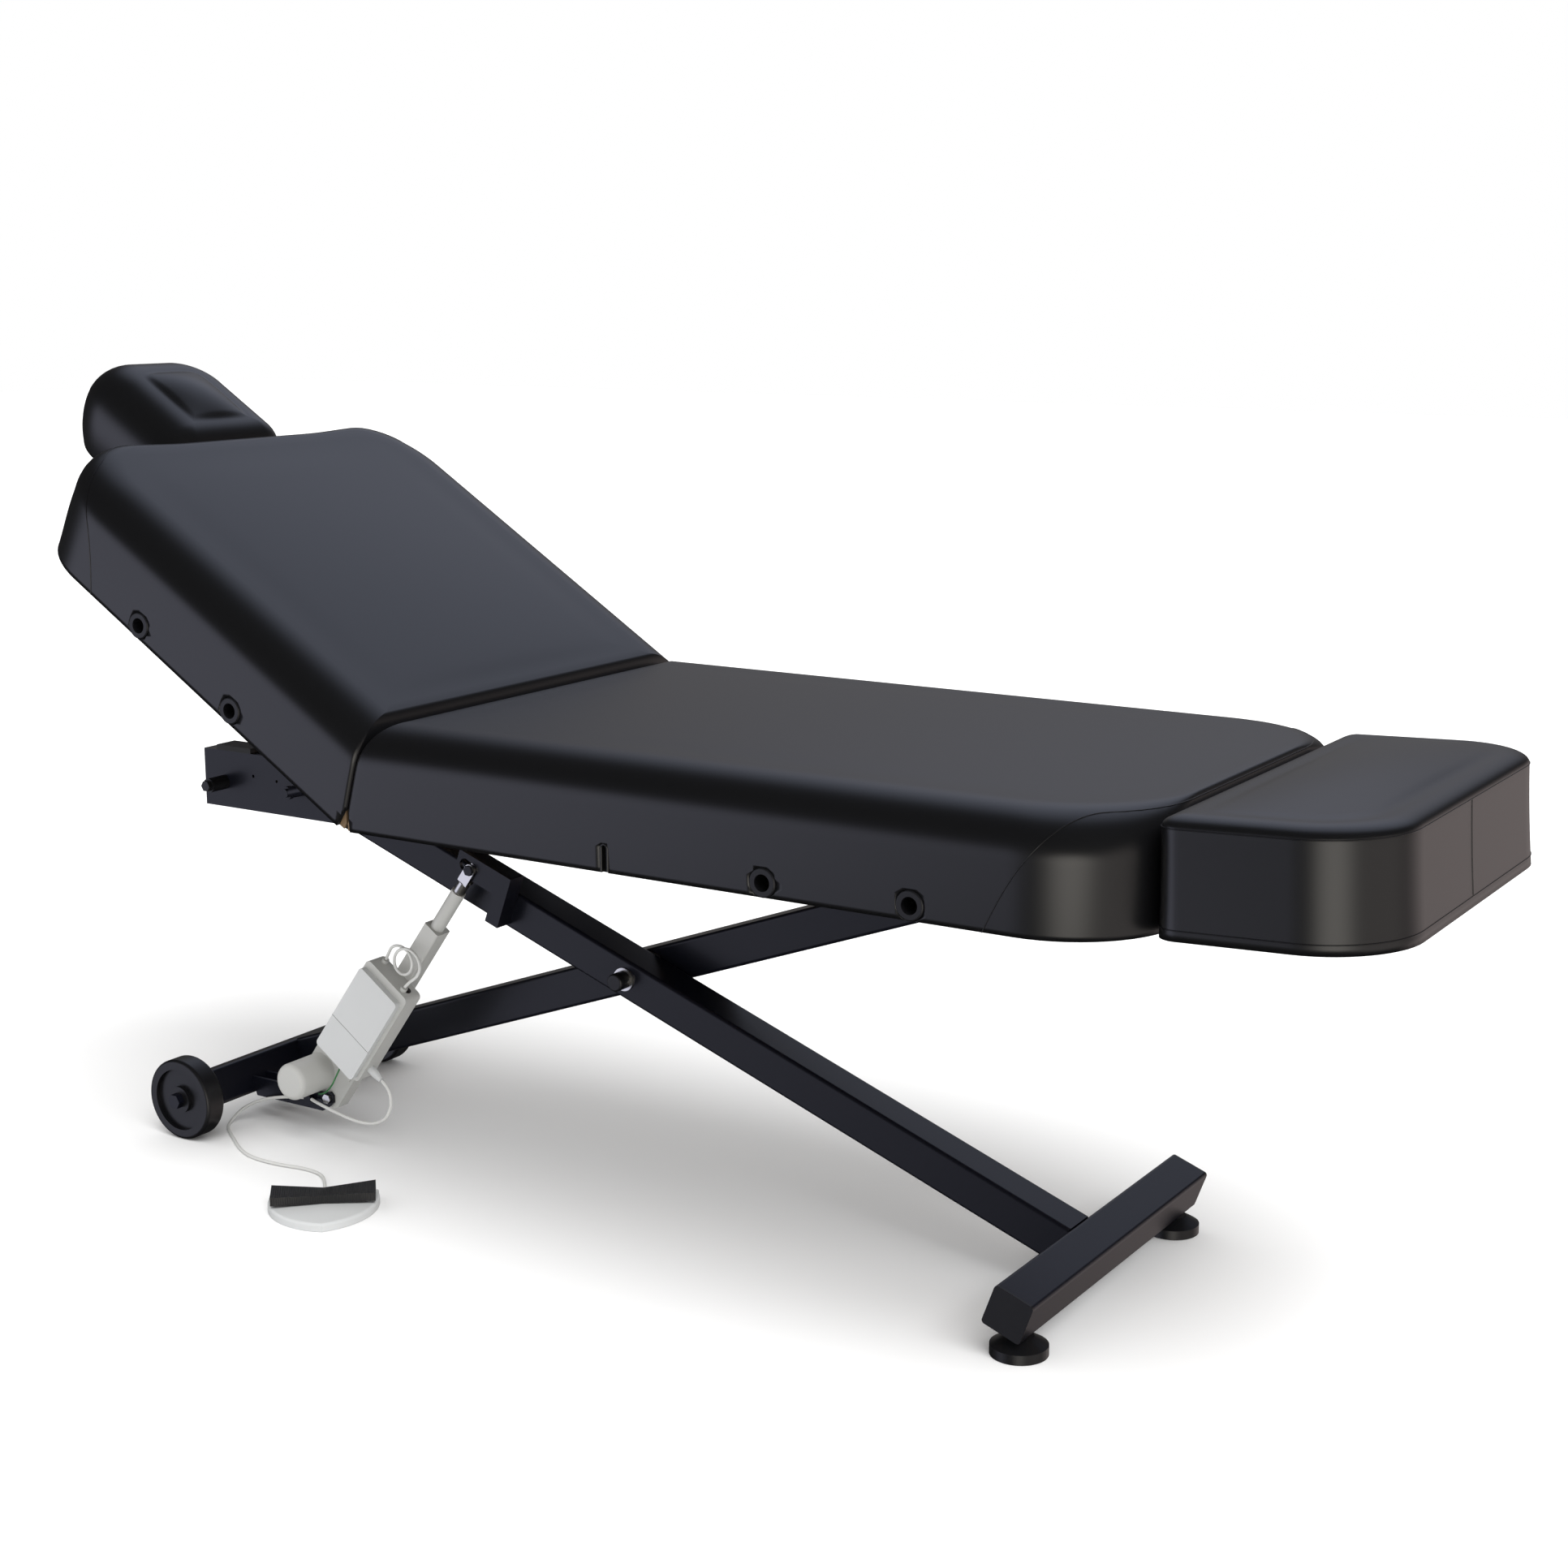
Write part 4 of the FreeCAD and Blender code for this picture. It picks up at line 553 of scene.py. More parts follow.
def port_cutters(places):
    """Openings for the ports in both skirts."""
    s = sizes()
    z = s.bottom + PORT_HEIGHT
    found = []
    for x in places:
        for side in (-1, 1):
            face = side * s.half_width
            found.append(round_cutter(x, z, PORT_CUT, face - side * OVER, face + side * OVER))
            found.append(round_cutter(x, z, PORT_FLANGE, face - side * PORT_SEAT, face + side * OVER))
    return found


def post_cutters(x, spread_y):
    """Openings for the posts of a plug-in pad, along the chair."""
    s = sizes()
    middles = [Matrix.Translation((x, y, s.bottom + POST_HEIGHT)) for y in (-spread_y, spread_y)]
    return [rod("cutter", middle, "Y", POST_RADIUS, 2 * OVER, POST_SEGMENTS) for middle in middles]


def notch_cutters():
    """Arched opening in both skirts at the hinge."""
    s = sizes()
    found = []
    rise = NOTCH["height"] - NOTCH["width"] / 2
    radius = NOTCH["width"] * NOTCH["arch_share"]
    for side in (-1, 1):
        found.append(skirt_block(s.hinge_x, NOTCH["width"], rise, side, NOTCH["recess"]))
        face = side * s.half_width
        inner = face - side * NOTCH["recess"]
        found.append(round_cutter(s.hinge_x, s.bottom + rise, radius, inner, face + side * OVER))
    return found


def skirt_block(x, width, rise, side, recess):
    """Upright recess in one skirt, open below."""
    s = sizes()
    ends = sorted((side * (s.half_width - recess), side * (s.half_width + OVER)))
    return block_cutter((x - width / 2, ends[0], s.bottom - OVER), (x + width / 2, ends[1], s.bottom + rise))


def strip(name, points, radius):
    """Thin sewn line along points, as a mesh tube."""
    curve = bpy.data.curves.new(name, "CURVE")
    curve.dimensions = "3D"
    curve.bevel_depth = radius
    curve.bevel_resolution = 2
    line = curve.splines.new("POLY")
    line.points.add(len(points) - 1)
    for point, place in zip(line.points, points):
        point.co = (*place, 1.0)
    draft = new_object(name, curve)
    return as_mesh(draft, name)


def as_mesh(draft, name):
    """Swap a curve object for a mesh object of the same form."""
    bpy.context.view_layer.update()
    done = draft.evaluated_get(bpy.context.evaluated_depsgraph_get())
    mesh = bpy.data.meshes.new_from_object(done)
    curve = draft.data
    bpy.data.objects.remove(draft)
    bpy.data.curves.remove(curve)
    mesh.name = name
    mesh.shade_smooth()
    return new_object(name, mesh)


# Pads

SEAT_ROLL_SHARES = (0.3, 0.2)
BACK_ROLL_SHARES = (0.35, 0.3)
HEADREST_ROLL_SHARES = (1.0, 0.8)
SEAT_ROUND_SHARE = 0.5


def seat_pad():
    s = sizes()
    plan = (s.hinge_x, s.hinge_x + s.seat_length, s.half_width, s.hinge_corner, s.foot_corner)
    return Pad(plan, s.bottom, s.depth, s.roll, s.roll_depth, s.draw_in, s.crown,
               roll_shares=SEAT_ROLL_SHARES, foot_round=SEAT_ROUND_SHARE)


def back_pad():
    s = sizes()
    plan = (s.hinge_x - s.back_length, s.hinge_x, s.half_width, s.head_corner, s.hinge_corner)
    return Pad(plan, s.bottom, s.depth, s.roll, s.roll_depth, s.draw_in, s.crown,
               roll_shares=BACK_ROLL_SHARES)


def headrest_pad(inner_end):
    s = sizes()
    plan = (inner_end - s.headrest_length, inner_end, s.headrest_half, s.headrest_outer, s.headrest_inner)
    return Pad(plan, s.bottom - s.headrest_drop, s.headrest_depth, s.headrest_roll, s.headrest_roll,
               s.headrest_draw_in, s.headrest_crown, roll_shares=HEADREST_ROLL_SHARES)


def footrest_pad(inner_end):
    s = sizes()
    plan = (inner_end, inner_end + s.footrest_length, s.footrest_half, s.footrest_inner, s.footrest_outer)
    return Pad(plan, s.bottom + s.footrest_rise, s.footrest_depth, s.footrest_roll, s.footrest_roll_depth,
               -s.footrest_flare, s.footrest_crown)


def make_seat():
    """Upholstery of the seat, with its openings, end seam and slit edges."""
    s = sizes()
    pad = seat_pad()
    piece = pad.build("seat_upholstery", lambda p: crease_shift(p, 1))
    cutters = port_cutters([s.hinge_x + x for x in SEAT_PORTS])
    cutters += post_cutters(s.hinge_x + s.seat_length, FOOT_POSTS)
    cutters += notch_cutters()
    slit_x = s.hinge_x + SLIT["place"]
    for side in (-1, 1):
        cutters.append(skirt_block(slit_x, SLIT["width"], SLIT["height"], side, SLIT["recess"]))
    carve(piece, cutters)
    dress(piece, "vinyl")
    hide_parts("seat_cushion", "seat_crease_foam")
    across_crease(piece)
    end_seam("seat_seam", pad, True, "seat", Matrix.Identity(4), lambda p: p)
    for name, side in (("near", -1), ("far", 1)):
        slit_lip("slit_lip_" + name, side)


def slit_lip(name, side):
    """Rolled edge round the slit in one skirt."""
    s = sizes()
    steps = SLIT["steps"]
    thick = SLIT["lip"] / 2
    half = SLIT["width"] / 2
    x = s.hinge_x + SLIT["place"]
    y = side * (s.half_width - thick)
    low = s.bottom + thick
    top = s.bottom + SLIT["height"] - half
    line = [Vector((x - half, y, z)) for z in spread(low, top, steps)]
    line += [Vector((x - half * cos(a), y, top + half * sin(a))) for a in spread(0, pi, 2 * steps)]
    line += [Vector((x + half, y, z)) for z in (*spread(top, low, steps), low)]
    lip = strip(name, line, thick)
    dress(lip, "vinyl")
    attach(lip, "seat")


def end_seam(name, pad, foot, body, place, reshape):
    """Seam round an end panel: up both sides in an arch, then along the top edge."""
    s = sizes()
    x0, x1, _, r0, r1 = pad.plan
    side, corner, end = pad.steps
    radius = r1 if foot else r0
    straight = x1 - x0 - r0 - r1
    line = []
    for k in range(SEAM_STEPS + 1):
        t = k / SEAM_STEPS
        run = ARCH_START + (ARCH_END - ARCH_START) * t
        count = run / straight * side if run < 0 else run / (radius * pi / 2) * corner
        rise = 1 - (1 - t) ** ARCH_POWER
        line.append(pad.side_point(side + count if foot else -count, pad.share_at(rise * EDGE_SHARE)))
    first = ARCH_END / (radius * pi / 2) * corner
    middle = corner + end / 2
    for k in range(1, SEAM_STEPS + 1):
        count = first + (middle - first) * k / SEAM_STEPS
        line.append(pad.side_point(side + count if foot else -count, pad.share_at(EDGE_SHARE)))
    mirrored = [Vector((p.x, -p.y, p.z)) for p in reversed(line[:-1])]
    seam = strip(name, [place @ reshape(p) for p in line + mirrored], s.seam / 2)
    dress(seam, "vinyl")
    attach(seam, body)


def head_bulge(point):
    """Fill out the upper part of the head end, and its corners, where no headrest stands against them."""
    s = sizes()
    end = s.hinge_x - s.back_length
    near = 1 - smooth((point.x - end) / HEAD_REACH)
    rise = (point.z - s.bottom) / s.depth
    corner = smooth((abs(point.y) - s.headrest_half) / HEAD_REACH)
    upper = smooth((rise - HEAD_RISE_SHARE) / (1 - HEAD_RISE_SHARE))
    full = HEAD_BOW * upper + HEAD_CORNER * corner * smooth(rise / HEAD_RISE_SHARE)
    return Vector((point.x - full * near, point.y, point.z))


def make_back():
    """Upholstery of the backrest, drawn level and then raised."""
    s = sizes()
    pad = back_pad()
    raise_it = tilt_matrix()
    piece = pad.build("backrest_upholstery", lambda p: crease_shift(head_bulge(p), -1))
    cutters = port_cutters([s.hinge_x - x for x in BACK_PORTS])
    cutters += post_cutters(s.hinge_x - s.back_length, HEAD_POSTS)
    cutters += notch_cutters()
    carve(piece, cutters)
    piece.data.transform(raise_it)
    dress(piece, "vinyl")
    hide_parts("backrest_cushion", "backrest_crease_foam")
    across_crease(piece)
    end_seam("backrest_seam", pad, False, "backrest", raise_it, head_bulge)


def make_headrest():
    """Upholstery of the plug-in headrest, raised with the backrest."""
    s = sizes()
    inner_end = s.hinge_x - s.back_length - s.headrest_gap
    piece = headrest_pad(inner_end).build("headrest_upholstery", lambda p: p)
    carve(piece, post_cutters(inner_end, HEAD_POSTS))
    piece.data.transform(tilt_matrix())
    dress(piece, "vinyl")
    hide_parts("headrest_cushion")
    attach(piece, "headrest")


def footrest_matrix(inner_end):
    """Raises the footrest's outer end about its lower inner edge."""
    s = sizes()
    edge = Vector((inner_end, 0.0, s.bottom + s.footrest_rise))
    return Matrix.Translation(edge) @ Matrix.Rotation(-s.footrest_tilt, 4, "Y") @ Matrix.Translation(-edge)


def make_footrest():
    """Upholstery of the plug-in footrest and its seams."""
    s = sizes()
    inner_end = s.hinge_x + s.seat_length + s.footrest_gap
    pad = footrest_pad(inner_end)
    raised = footrest_matrix(inner_end)
    piece = pad.build("footrest_upholstery", lambda p: raised @ p)
    carve(piece, post_cutters(inner_end, FOOT_POSTS))
    dress(piece, "vinyl")
    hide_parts("footrest_cushion")
    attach(piece, "footrest")
    footrest_seams(pad, raised)


def footrest_seams(pad, raised):
    """Welt round the top, seam above the hem, and the upright seam of the end panel."""
    s = sizes()
    side, corner, end = pad.steps
    count = 2 * (side + end) + 4 * corner
    welt = [pad.side_point(k, WELT_SHARE) for k in range(count + 1)]
    hem = [pad.side_point(k, HEM_SHARE) for k in range(count + 1)]
    place = side + corner + end * UPRIGHT_SHARE
    shares = (*spread(HEM_SHARE, WELT_SHARE, UPRIGHT_STEPS), WELT_SHARE)
    upright = [pad.side_point(place, share) for share in shares]
    for name, points in (("welt", welt), ("hem", hem), ("end_seam", upright)):
        seam = strip("footrest_" + name, [raised @ p for p in points], s.seam / 2)
        dress(seam, "vinyl")
        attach(seam, "footrest")


# Cords: the routes of the construction, in metres

MOTOR_PIN = Vector((-0.5405, 0.0, 0.0620))
MOTOR_LEAN = radians(54.30254)
SWITCH_PLACE = Vector((-0.3585, -0.3180, 0.0))
SWITCH_TURN = radians(41.0)
PLUG_END = (0.120, -0.125, -0.0698)
CLIP_NEAR = (-0.0272, -0.11675, 0.058)
CLIP_FAR = (-0.0428, -0.11675, 0.058)
UPPER_ROUTE = ((0.1358, -0.1250, 0.1122), (0.1435, -0.1250, 0.0995), (0.1445, -0.1250, 0.0830),
               (0.1385, -0.1250, 0.0660), (0.1245, -0.1250, 0.0525), (0.1035, -0.1245, 0.0445),
               (0.0775, -0.1240, 0.0425), (0.0505, -0.1235, 0.0450), (0.0235, -0.1225, 0.0495),
               (-0.0030, -0.1215, 0.0545))
LOWER_ROUTE = ((-0.0665, -0.1155, 0.0545), (-0.0955, -0.1170, 0.0490), (-0.1235, -0.1185, 0.0415),
               (-0.1495, -0.1210, 0.0310), (-0.1705, -0.1280, 0.0170))
FLOOR_ROUTE = ((-0.1735, -0.1490), (-0.1565, -0.1720), (-0.1215, -0.1960), (-0.0765, -0.2280),
               (-0.0355, -0.2470), (0.0205, -0.2490), (0.0685, -0.2390), (0.1065, -0.2430))
LANDING = (0.1395, -0.2695, 0.0050)
RELIEF_END = (0.0, 0.0248, 0.0065)
EARTH_START = (0.0932, -0.134, -0.002)
EARTH_ROUTE = ((0.0510, -0.1420, 0.1180), (0.0400, -0.1430, 0.0980), (0.0210, -0.1360, 0.0830),
               (-0.0005, -0.1250, 0.0735))
EARTH_END = (-0.0170, -0.1110, 0.0670)
COIL = {"radius": 0.021, "rise": 0.034, "side": 0.002, "slide": 0.031, "depth": 0.0135, "corners": 13,
        "box_end": 0.275, "middle": -0.1235, "foot": 0.0068, "lead": 0.0165, "exits": (-0.024, 0.0335),
        "splay": 0.001}
FLOOR_GAP = 0.0001


def motor_point(s, y, p):
    """Place of a point drawn level from the motor's rear pin."""
    c = cos(MOTOR_LEAN)
    n = sin(MOTOR_LEAN)
    return Vector((MOTOR_PIN.x + s * c - p * n, y, MOTOR_PIN.z + s * n + p * c))


def switch_point(x, y, z):
    """Place of a point drawn square to the foot switch."""
    c = cos(SWITCH_TURN)
    n = sin(SWITCH_TURN)
    return SWITCH_PLACE + Vector((x * c - y * n, x * n + y * c, z))


def coil_points():
    """One and a half turns of spare cord above the control box, the loops side by side."""
    step = pi / 4
    ring = COIL["radius"] / cos(step / 2)
    near, far = COIL["exits"]
    low = [(COIL["foot"], near), (COIL["lead"], near - COIL["splay"])]
    high = [(COIL["lead"], far + COIL["splay"]), (COIL["foot"], far)]
    turns = []
    for k in range(COIL["corners"]):
        a = step * k - step / 2
        slide = COIL["slide"] * (0.5 - k / (COIL["corners"] - 1))
        turns.append((COIL["rise"] + slide * cos(MOTOR_LEAN) + ring * sin(a),
                      COIL["side"] - slide * sin(MOTOR_LEAN) - ring * cos(a)))
    flat = low + turns + high
    first = COIL["middle"] - COIL["depth"] / 2
    return [motor_point(COIL["box_end"] + s, first + COIL["depth"] * k / (len(flat) - 1), p)
            for k, (s, p) in enumerate(flat)]


def from_pin(route):
    """Route points are given along the chair from the motor's rear pin."""
    return [Vector((MOTOR_PIN.x + x, y, z)) for x, y, z in route]


def spline_object(name, points, radius):
    """Smooth cord through the route's corners."""
    curve = bpy.data.curves.new(name, "CURVE")
    curve.dimensions = "3D"
    curve.resolution_u = 12
    curve.bevel_depth = radius
    curve.bevel_resolution = 4
    curve.use_fill_caps = True
    line = curve.splines.new("NURBS")
    line.points.add(len(points) - 1)
    for point, place in zip(line.points, points):
        point.co = (*place, 1.0)
    line.order_u = 3
    line.use_endpoint_u = True
    return new_object(name, curve)


def centre_line(draft):
    """Points along a cord's middle, and their length."""
    depth = draft.data.bevel_depth
    draft.data.bevel_depth = 0.0
    bpy.context.view_layer.update()
    done = draft.evaluated_get(bpy.context.evaluated_depsgraph_get())
    mesh = done.to_mesh()
    points = [v.co.copy() for v in mesh.vertices]
    done.to_mesh_clear()
    draft.data.bevel_depth = depth
    run = sum((b - a).length for a, b in zip(points, points[1:]))
    return points, run


def make_cord(name, node, points, diameter, slot, bodies):
    """One cord: on one body it is attached to it; between two bodies it stays where it is drawn."""
    draft = spline_object(name, points, diameter / 2)
    line, run = centre_line(draft)
    piece = as_mesh(draft, name)
    dress(piece, slot)
    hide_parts(node)
    if len(bodies) == 2:
        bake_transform(piece)
    else:
        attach(piece, bodies[0])


def make_cords():
    """The cord of the foot switch in two parts, the motor's coil and the green wire."""
    c = bpy.context.scene.chair_cords
    upper = [motor_point(*PLUG_END), *from_pin([*UPPER_ROUTE, CLIP_NEAR])]
    make_cord("switch_cord_upper", "switch_cable_upper", upper, c.switch_cord, "cord_white",
              ("lift_motor", "leg_b"))
    level = c.switch_cord / 2 + FLOOR_GAP
    ground = [(x, y, level) for x, y in FLOOR_ROUTE]
    lower = [*from_pin([CLIP_FAR, *LOWER_ROUTE, *ground, LANDING]), switch_point(*RELIEF_END)]
    make_cord("switch_cord_lower", "switch_cable_lower", lower, c.switch_cord, "cord_white",
              ("leg_b", "foot_switch"))
    make_cord("motor_cord", "motor_cable", coil_points(), c.motor_cord, "cord_white", ("lift_motor",))
    earth = [motor_point(*EARTH_START), *from_pin([*EARTH_ROUTE, EARTH_END])]
    make_cord("green_wire", "earth_wire", earth, c.earth_wire, "wire_green", ("lift_motor", "leg_b"))


# Small details of the motor's box and the foot switch

LID = {"split": 0.159, "low": -0.038, "high": 0.047, "face": -0.150, "line": 0.0007,
       "shade_share": 0.45}
SOCKET = {"end": 0.275, "middle": -0.1235, "side": -0.026, "radius": 0.0068, "lip": 0.0006}
RIB = {"pitch": 0.0032, "height": 0.001, "strength": 0.5}
WAVE_PERIOD = pi / 10


def motor_frame():
    """Turns a level drawing of the motor into its place."""
    return Matrix.Translation(MOTOR_PIN) @ Matrix.Rotation(-MOTOR_LEAN, 4, "Y")


def make_details():
    """The lid's dividing line and the empty socket on the end of the box."""
    bm = bmesh.new()
    middle = Vector((LID["split"], LID["face"], (LID["low"] + LID["high"]) / 2))
    span = Vector((LID["line"], LID["line"] / 2, LID["high"] - LID["low"]))
    place = motor_frame() @ Matrix.Translation(middle) @ Matrix.Diagonal((*span, 1.0))
    bmesh.ops.create_cube(bm, size=1.0, matrix=place)
    line = mesh_object("lid_line", bm)
    dress(line, "motor_plastic")
    line.data.materials[0] = line_material()
    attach(line, "lift_motor")
    spot = motor_frame() @ Matrix.Translation((SOCKET["end"], SOCKET["middle"], SOCKET["side"]))
    hole = rod("box_socket", spot, "Y", SOCKET["radius"], SOCKET["lip"], POST_SEGMENTS)
    dress(hole, "black_plastic")
    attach(hole, "lift_motor")


def line_material():
    """The motor's grey, in shade."""
    return node_material("lid_line", [c * LID["shade_share"] for c in colours().motor], roughness=0.7)


def ribbed_material():
    """Black plastic with fine ribs across the treadle."""
    material = node_material("ribbed_plastic", colours().plastic, roughness=0.5)
    nodes = material.node_tree.nodes
    links = material.node_tree.links
    place = nodes.new("ShaderNodeTexCoord")
    turn = nodes.new("ShaderNodeMapping")
    wave = nodes.new("ShaderNodeTexWave")
    bump = nodes.new("ShaderNodeBump")
    turn.inputs["Rotation"].default_value = (0.0, 0.0, -SWITCH_TURN)
    wave.inputs["Scale"].default_value = WAVE_PERIOD / RIB["pitch"]
    bump.inputs["Strength"].default_value = RIB["strength"]
    bump.inputs["Distance"].default_value = RIB["height"]
    links.new(place.outputs["Object"], turn.inputs["Vector"])
    links.new(turn.outputs["Vector"], wave.inputs["Vector"])
    links.new(wave.outputs["Fac"], bump.inputs["Height"])
    links.new(bump.outputs["Normal"], nodes["Principled BSDF"].inputs["Normal"])
    return material


# Construction nodes that stay in view

def paint_nodes():
    """Give every node the finish that the record names for it."""
    for entry in frame["record"]["subparts"]:
        node = frame["nodes"][entry["node"]]
        dress(node, entry["material_slot"])
    frame["nodes"]["foot_switch_rocker"].data.materials[0] = ribbed_material()


# Stage

def make_stage():
    """Camera, floor and lights."""
    stage = bpy.context.scene.chair_stage
    camera = bpy.data.cameras.new("camera")
    camera.lens = stage.lens
    camera.sensor_width = stage.sensor
    camera.clip_end = stage.reach
    eye = new_object("camera", camera)
    eye.location = stage.camera_place
    eye.rotation_euler = (pi / 2 - stage.camera_pitch, 0.0, stage.camera_yaw)
    bpy.context.scene.camera = eye
    make_floor(stage)
    make_lights(stage)
    bpy.context.scene.view_settings.view_transform = "Standard"


def make_floor(stage):
    """Pale floor that takes shadows; reflections look past it to the studio."""
    bm = bmesh.new()
    bmesh.ops.create_grid(bm, x_segments=1, y_segments=1, size=stage.floor_size / 2)
    ground = mesh_object("floor", bm)
    ground.location = (0.0, 0.0, -stage.floor_drop)
    material = node_material("floor", colours().floor, roughness=0.9, specular=0.0)
    nodes = material.node_tree.nodes
    links = material.node_tree.links
    rays = nodes.new("ShaderNodeLightPath")
    clear = nodes.new("ShaderNodeBsdfTransparent")
    mix = nodes.new("ShaderNodeMixShader")
    links.new(rays.outputs["Is Glossy Ray"], mix.inputs[0])
    links.new(nodes["Principled BSDF"].outputs[0], mix.inputs[1])
    links.new(clear.outputs[0], mix.inputs[2])
    links.new(mix.outputs[0], nodes["Material Output"].inputs["Surface"])
    ground.data.materials.append(material)


# Soft panels of the studio as reflections see them: direction, half width in degrees, colour, strength
PANELS = (
    ((-0.70, -0.70, -0.12), 30.0, (0.90, 0.92, 1.14), 1.35),
    ((0.46, -0.86, -0.16), 28.0, (1.05, 1.00, 0.92), 3.2),
    ((-0.22, 0.66, 0.72), 34.0, (0.86, 0.94, 1.20), 0.76),
    ((-0.45, 0.86, 0.20), 32.0, (1.06, 1.00, 0.97), 0.20),
    ((0.42, 0.86, -0.26), 36.0, (1.14, 0.98, 0.95), 0.66),
    ((0.94, -0.10, -0.20), 44.0, (1.10, 1.00, 0.94), 0.75),
)
PANEL_CORE_SHARE = 0.25


def add_panel(nodes, links, place, below, panel):
    """One soft panel added to the light of those before it."""
    toward, width, tint, strength = panel
    facing = nodes.new("ShaderNodeVectorMath")
    facing.operation = "DOT_PRODUCT"
    facing.inputs[1].default_value = Vector(toward).normalized()
    fade = nodes.new("ShaderNodeMapRange")
    fade.interpolation_type = "SMOOTHSTEP"
    fade.inputs["From Min"].default_value = cos(radians(width))
    fade.inputs["From Max"].default_value = cos(radians(width * PANEL_CORE_SHARE))
    glow = nodes.new("ShaderNodeVectorMath")
    glow.operation = "SCALE"
    glow.inputs[0].default_value = Vector(tint) * strength
    total = nodes.new("ShaderNodeVectorMath")
    total.operation = "ADD"
    links.new(place.outputs["Generated"], facing.inputs[0])
    links.new(facing.outputs["Value"], fade.inputs["Value"])
    links.new(fade.outputs["Result"], glow.inputs["Scale"])
    links.new(below, total.inputs[0])
    links.new(glow.outputs["Vector"], total.inputs[1])
    return total.outputs["Vector"]


def make_lights(stage):
    """Even light for surfaces, soft panels for reflections, white for the camera."""
    world = bpy.data.worlds.new("studio")
    world.use_nodes = True
    nodes = world.node_tree.nodes
    links = world.node_tree.links
    place = nodes.new("ShaderNodeTexCoord")
    dim = nodes.new("ShaderNodeCombineXYZ")
    for axis in range(3):
        dim.inputs[axis].default_value = stage.glossy_sky
    shine = dim.outputs[0]
    for panel in PANELS:
        shine = add_panel(nodes, links, place, shine, panel)
    rays = nodes.new("ShaderNodeLightPath")
    lit = mix_colour(nodes, links, rays.outputs["Is Glossy Ray"], (stage.sky,) * 3, shine)
    seen = mix_colour(nodes, links, rays.outputs["Is Camera Ray"], lit, (1.0, 1.0, 1.0))
    links.new(seen, nodes["Background"].inputs["Color"])
    bpy.context.scene.world = world
    key_light(stage)


def mix_colour(nodes, links, share, low, high):
    """Blend of two colours, each a value or an output."""
    mix = nodes.new("ShaderNodeMix")
    mix.data_type = "RGBA"
    links.new(share, mix.inputs["Factor"])
    for name, value in (("A", low), ("B", high)):
        socket = next(s for s in mix.inputs if s.name == name and s.type == "RGBA")
        if isinstance(value, tuple):
            socket.default_value = (*value, 1.0)
        else:
            links.new(value, socket)
    return next(s for s in mix.outputs if s.type == "RGBA")


def key_light(stage):
    """Broad light from above that casts the soft shadow, with reflections left to the panels."""
    light = bpy.data.lights.new("key", "SUN")
    light.energy = stage.key
    light.angle = stage.key_spread
    lamp = new_object("key", light)
    lamp.location = stage.key_place
    lamp.rotation_euler = (-Vector(stage.key_place)).to_track_quat("-Z", "Y").to_euler()
    lamp.visible_glossy = False


# Operators and panel

class CHAIR_OT_paint(bpy.types.Operator):
    """Give each piece of the construction its finish"""
    bl_idname = "chair.paint"
    bl_label = "Paint the construction"

    def execute(self, context):
        paint_nodes()
        return {"FINISHED"}


class CHAIR_OT_cords(bpy.types.Operator):
    """Make the cords of the switch and motor"""
    bl_idname = "chair.cords"
    bl_label = "Make the cords"

    def execute(self, context):
        make_cords()
        return {"FINISHED"}


class CHAIR_OT_seat(bpy.types.Operator):
    """Make the upholstery of the seat"""
    bl_idname = "chair.seat"
    bl_label = "Make the seat"

    def execute(self, context):
        make_seat()
        return {"FINISHED"}


class CHAIR_OT_backrest(bpy.types.Operator):
    """Make the upholstery of the backrest"""
    bl_idname = "chair.backrest"
    bl_label = "Make the backrest"

    def execute(self, context):
        make_back()
        return {"FINISHED"}


class CHAIR_OT_headrest(bpy.types.Operator):
    """Make the upholstery of the headrest"""
    bl_idname = "chair.headrest"
    bl_label = "Make the headrest"

    def execute(self, context):
        make_headrest()
        return {"FINISHED"}


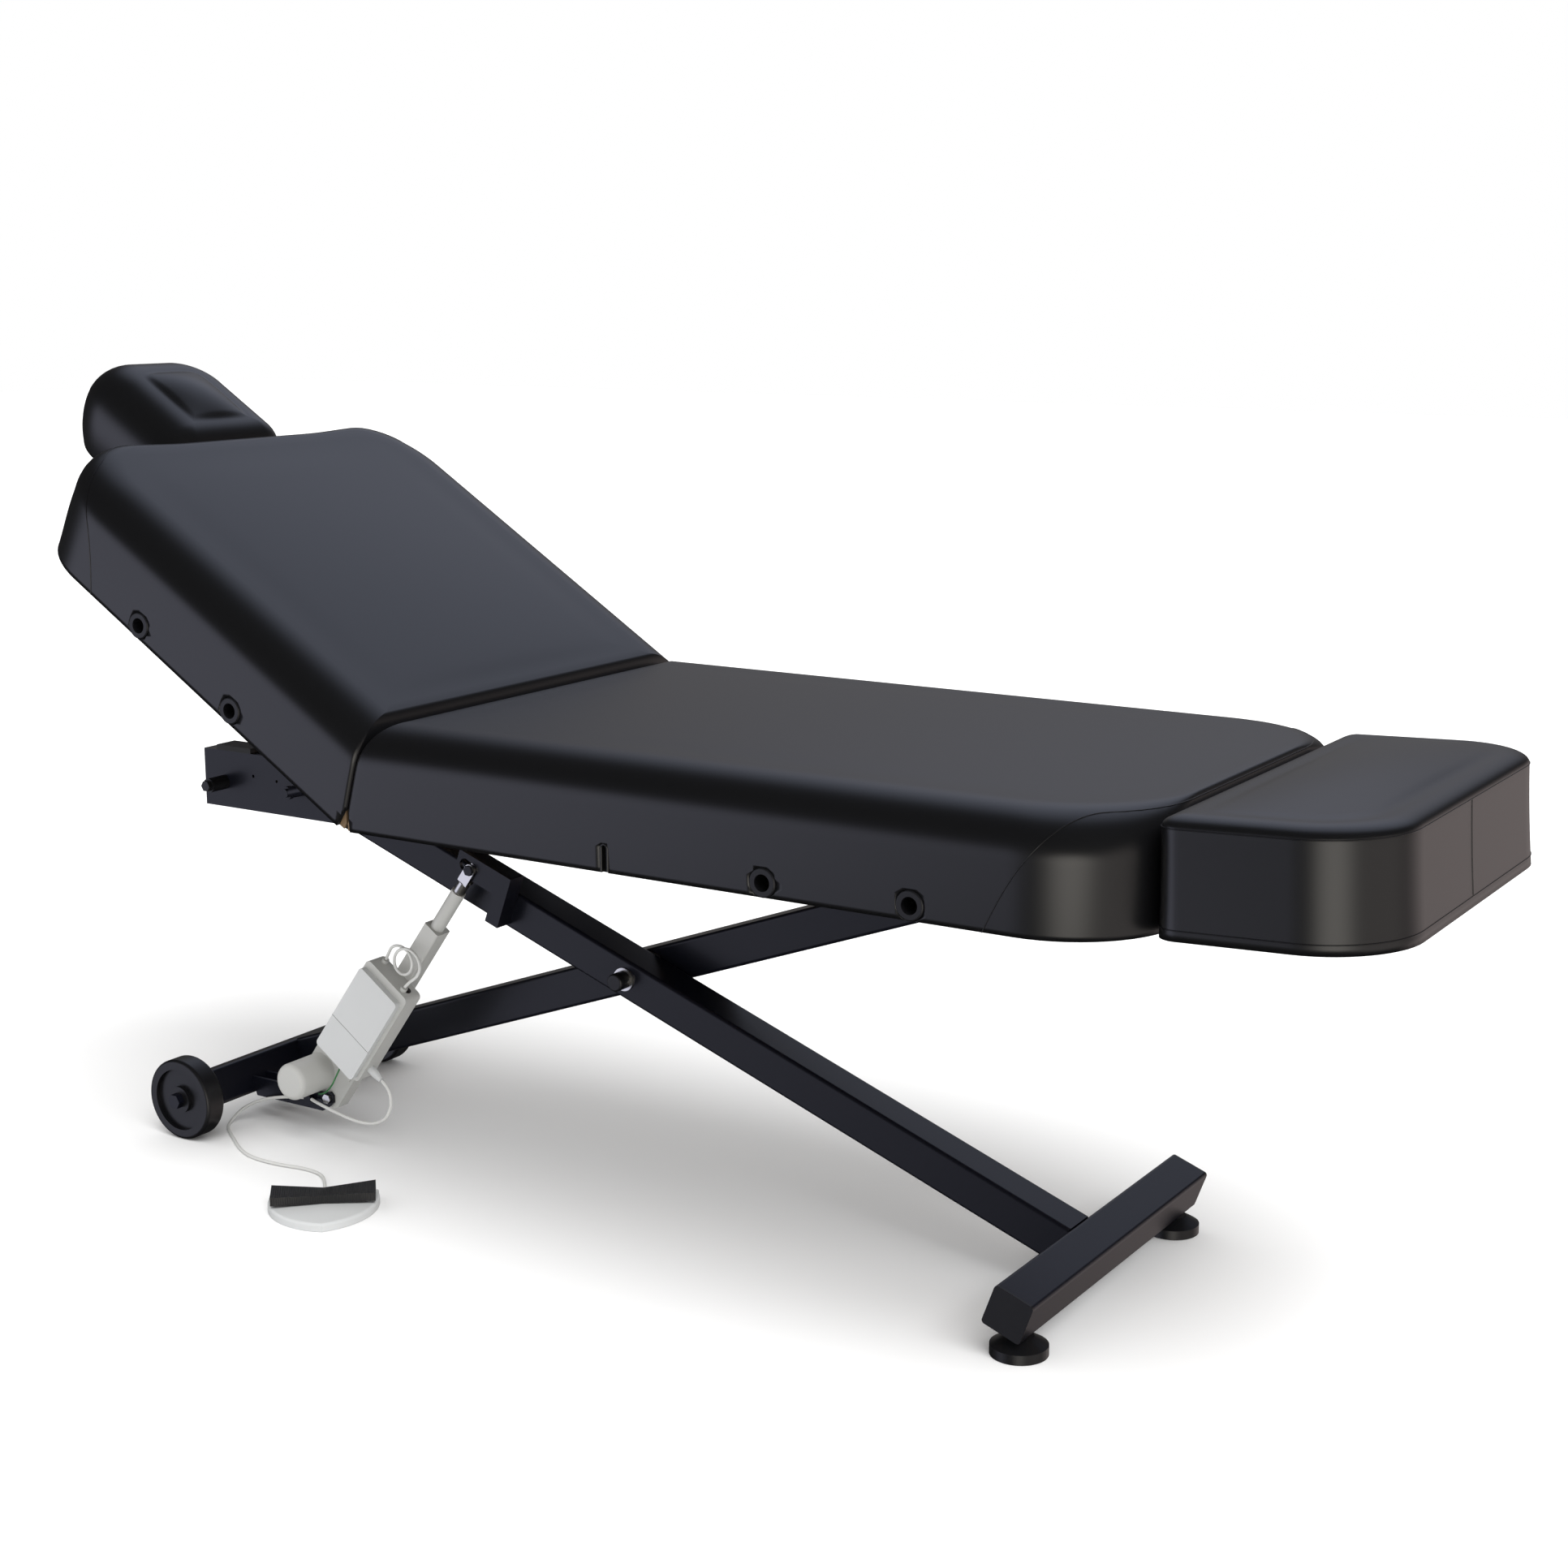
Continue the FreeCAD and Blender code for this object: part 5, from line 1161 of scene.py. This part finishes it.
class CHAIR_OT_footrest(bpy.types.Operator):
    """Make the upholstery of the footrest"""
    bl_idname = "chair.footrest"
    bl_label = "Make the footrest"

    def execute(self, context):
        make_footrest()
        return {"FINISHED"}


class CHAIR_OT_details(bpy.types.Operator):
    """Add the small details of the motor's box"""
    bl_idname = "chair.details"
    bl_label = "Add the details"

    def execute(self, context):
        make_details()
        return {"FINISHED"}


class CHAIR_OT_stage(bpy.types.Operator):
    """Set up the camera, floor and lights"""
    bl_idname = "chair.stage"
    bl_label = "Set the stage"

    def execute(self, context):
        make_stage()
        return {"FINISHED"}


class CHAIR_PT_panel(bpy.types.Panel):
    """Sizes, colours and steps of the chair"""
    bl_idname = "CHAIR_PT_panel"
    bl_label = "Treatment chair"
    bl_space_type = "VIEW_3D"
    bl_region_type = "UI"
    bl_category = "Chair"

    def draw(self, context):
        layout = self.layout
        for label in GROUPS:
            group = getattr(context.scene, label)
            box = layout.box()
            for name in group.bl_rna.properties.keys():
                if name not in ("rna_type", "name"):
                    box.prop(group, name)
        for step in STEPS:
            layout.operator(step.bl_idname)


GROUPS = {
    "chair_sizes": ChairSizes,
    "chair_cords": ChairCords,
    "chair_colours": ChairColours,
    "chair_stage": ChairStage,
}
STEPS = (CHAIR_OT_stage, CHAIR_OT_paint, CHAIR_OT_cords, CHAIR_OT_seat, CHAIR_OT_backrest, CHAIR_OT_headrest,
         CHAIR_OT_footrest, CHAIR_OT_details)


def register():
    for name, group in GROUPS.items():
        bpy.utils.register_class(group)
        setattr(bpy.types.Scene, name, bpy.props.PointerProperty(type=group))
    for item in (*STEPS, CHAIR_PT_panel):
        bpy.utils.register_class(item)


def unregister():
    for item in (CHAIR_PT_panel, *reversed(STEPS)):
        bpy.utils.unregister_class(item)
    for name, group in GROUPS.items():
        delattr(bpy.types.Scene, name)
        bpy.utils.unregister_class(group)


def main():
    register()
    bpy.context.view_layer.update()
    bpy.ops.chair.stage()
    bpy.ops.chair.paint()
    bpy.ops.chair.cords()
    bpy.ops.chair.seat()
    bpy.ops.chair.backrest()
    bpy.ops.chair.headrest()
    bpy.ops.chair.footrest()
    bpy.ops.chair.details()


if __name__ == "__main__":
    main()
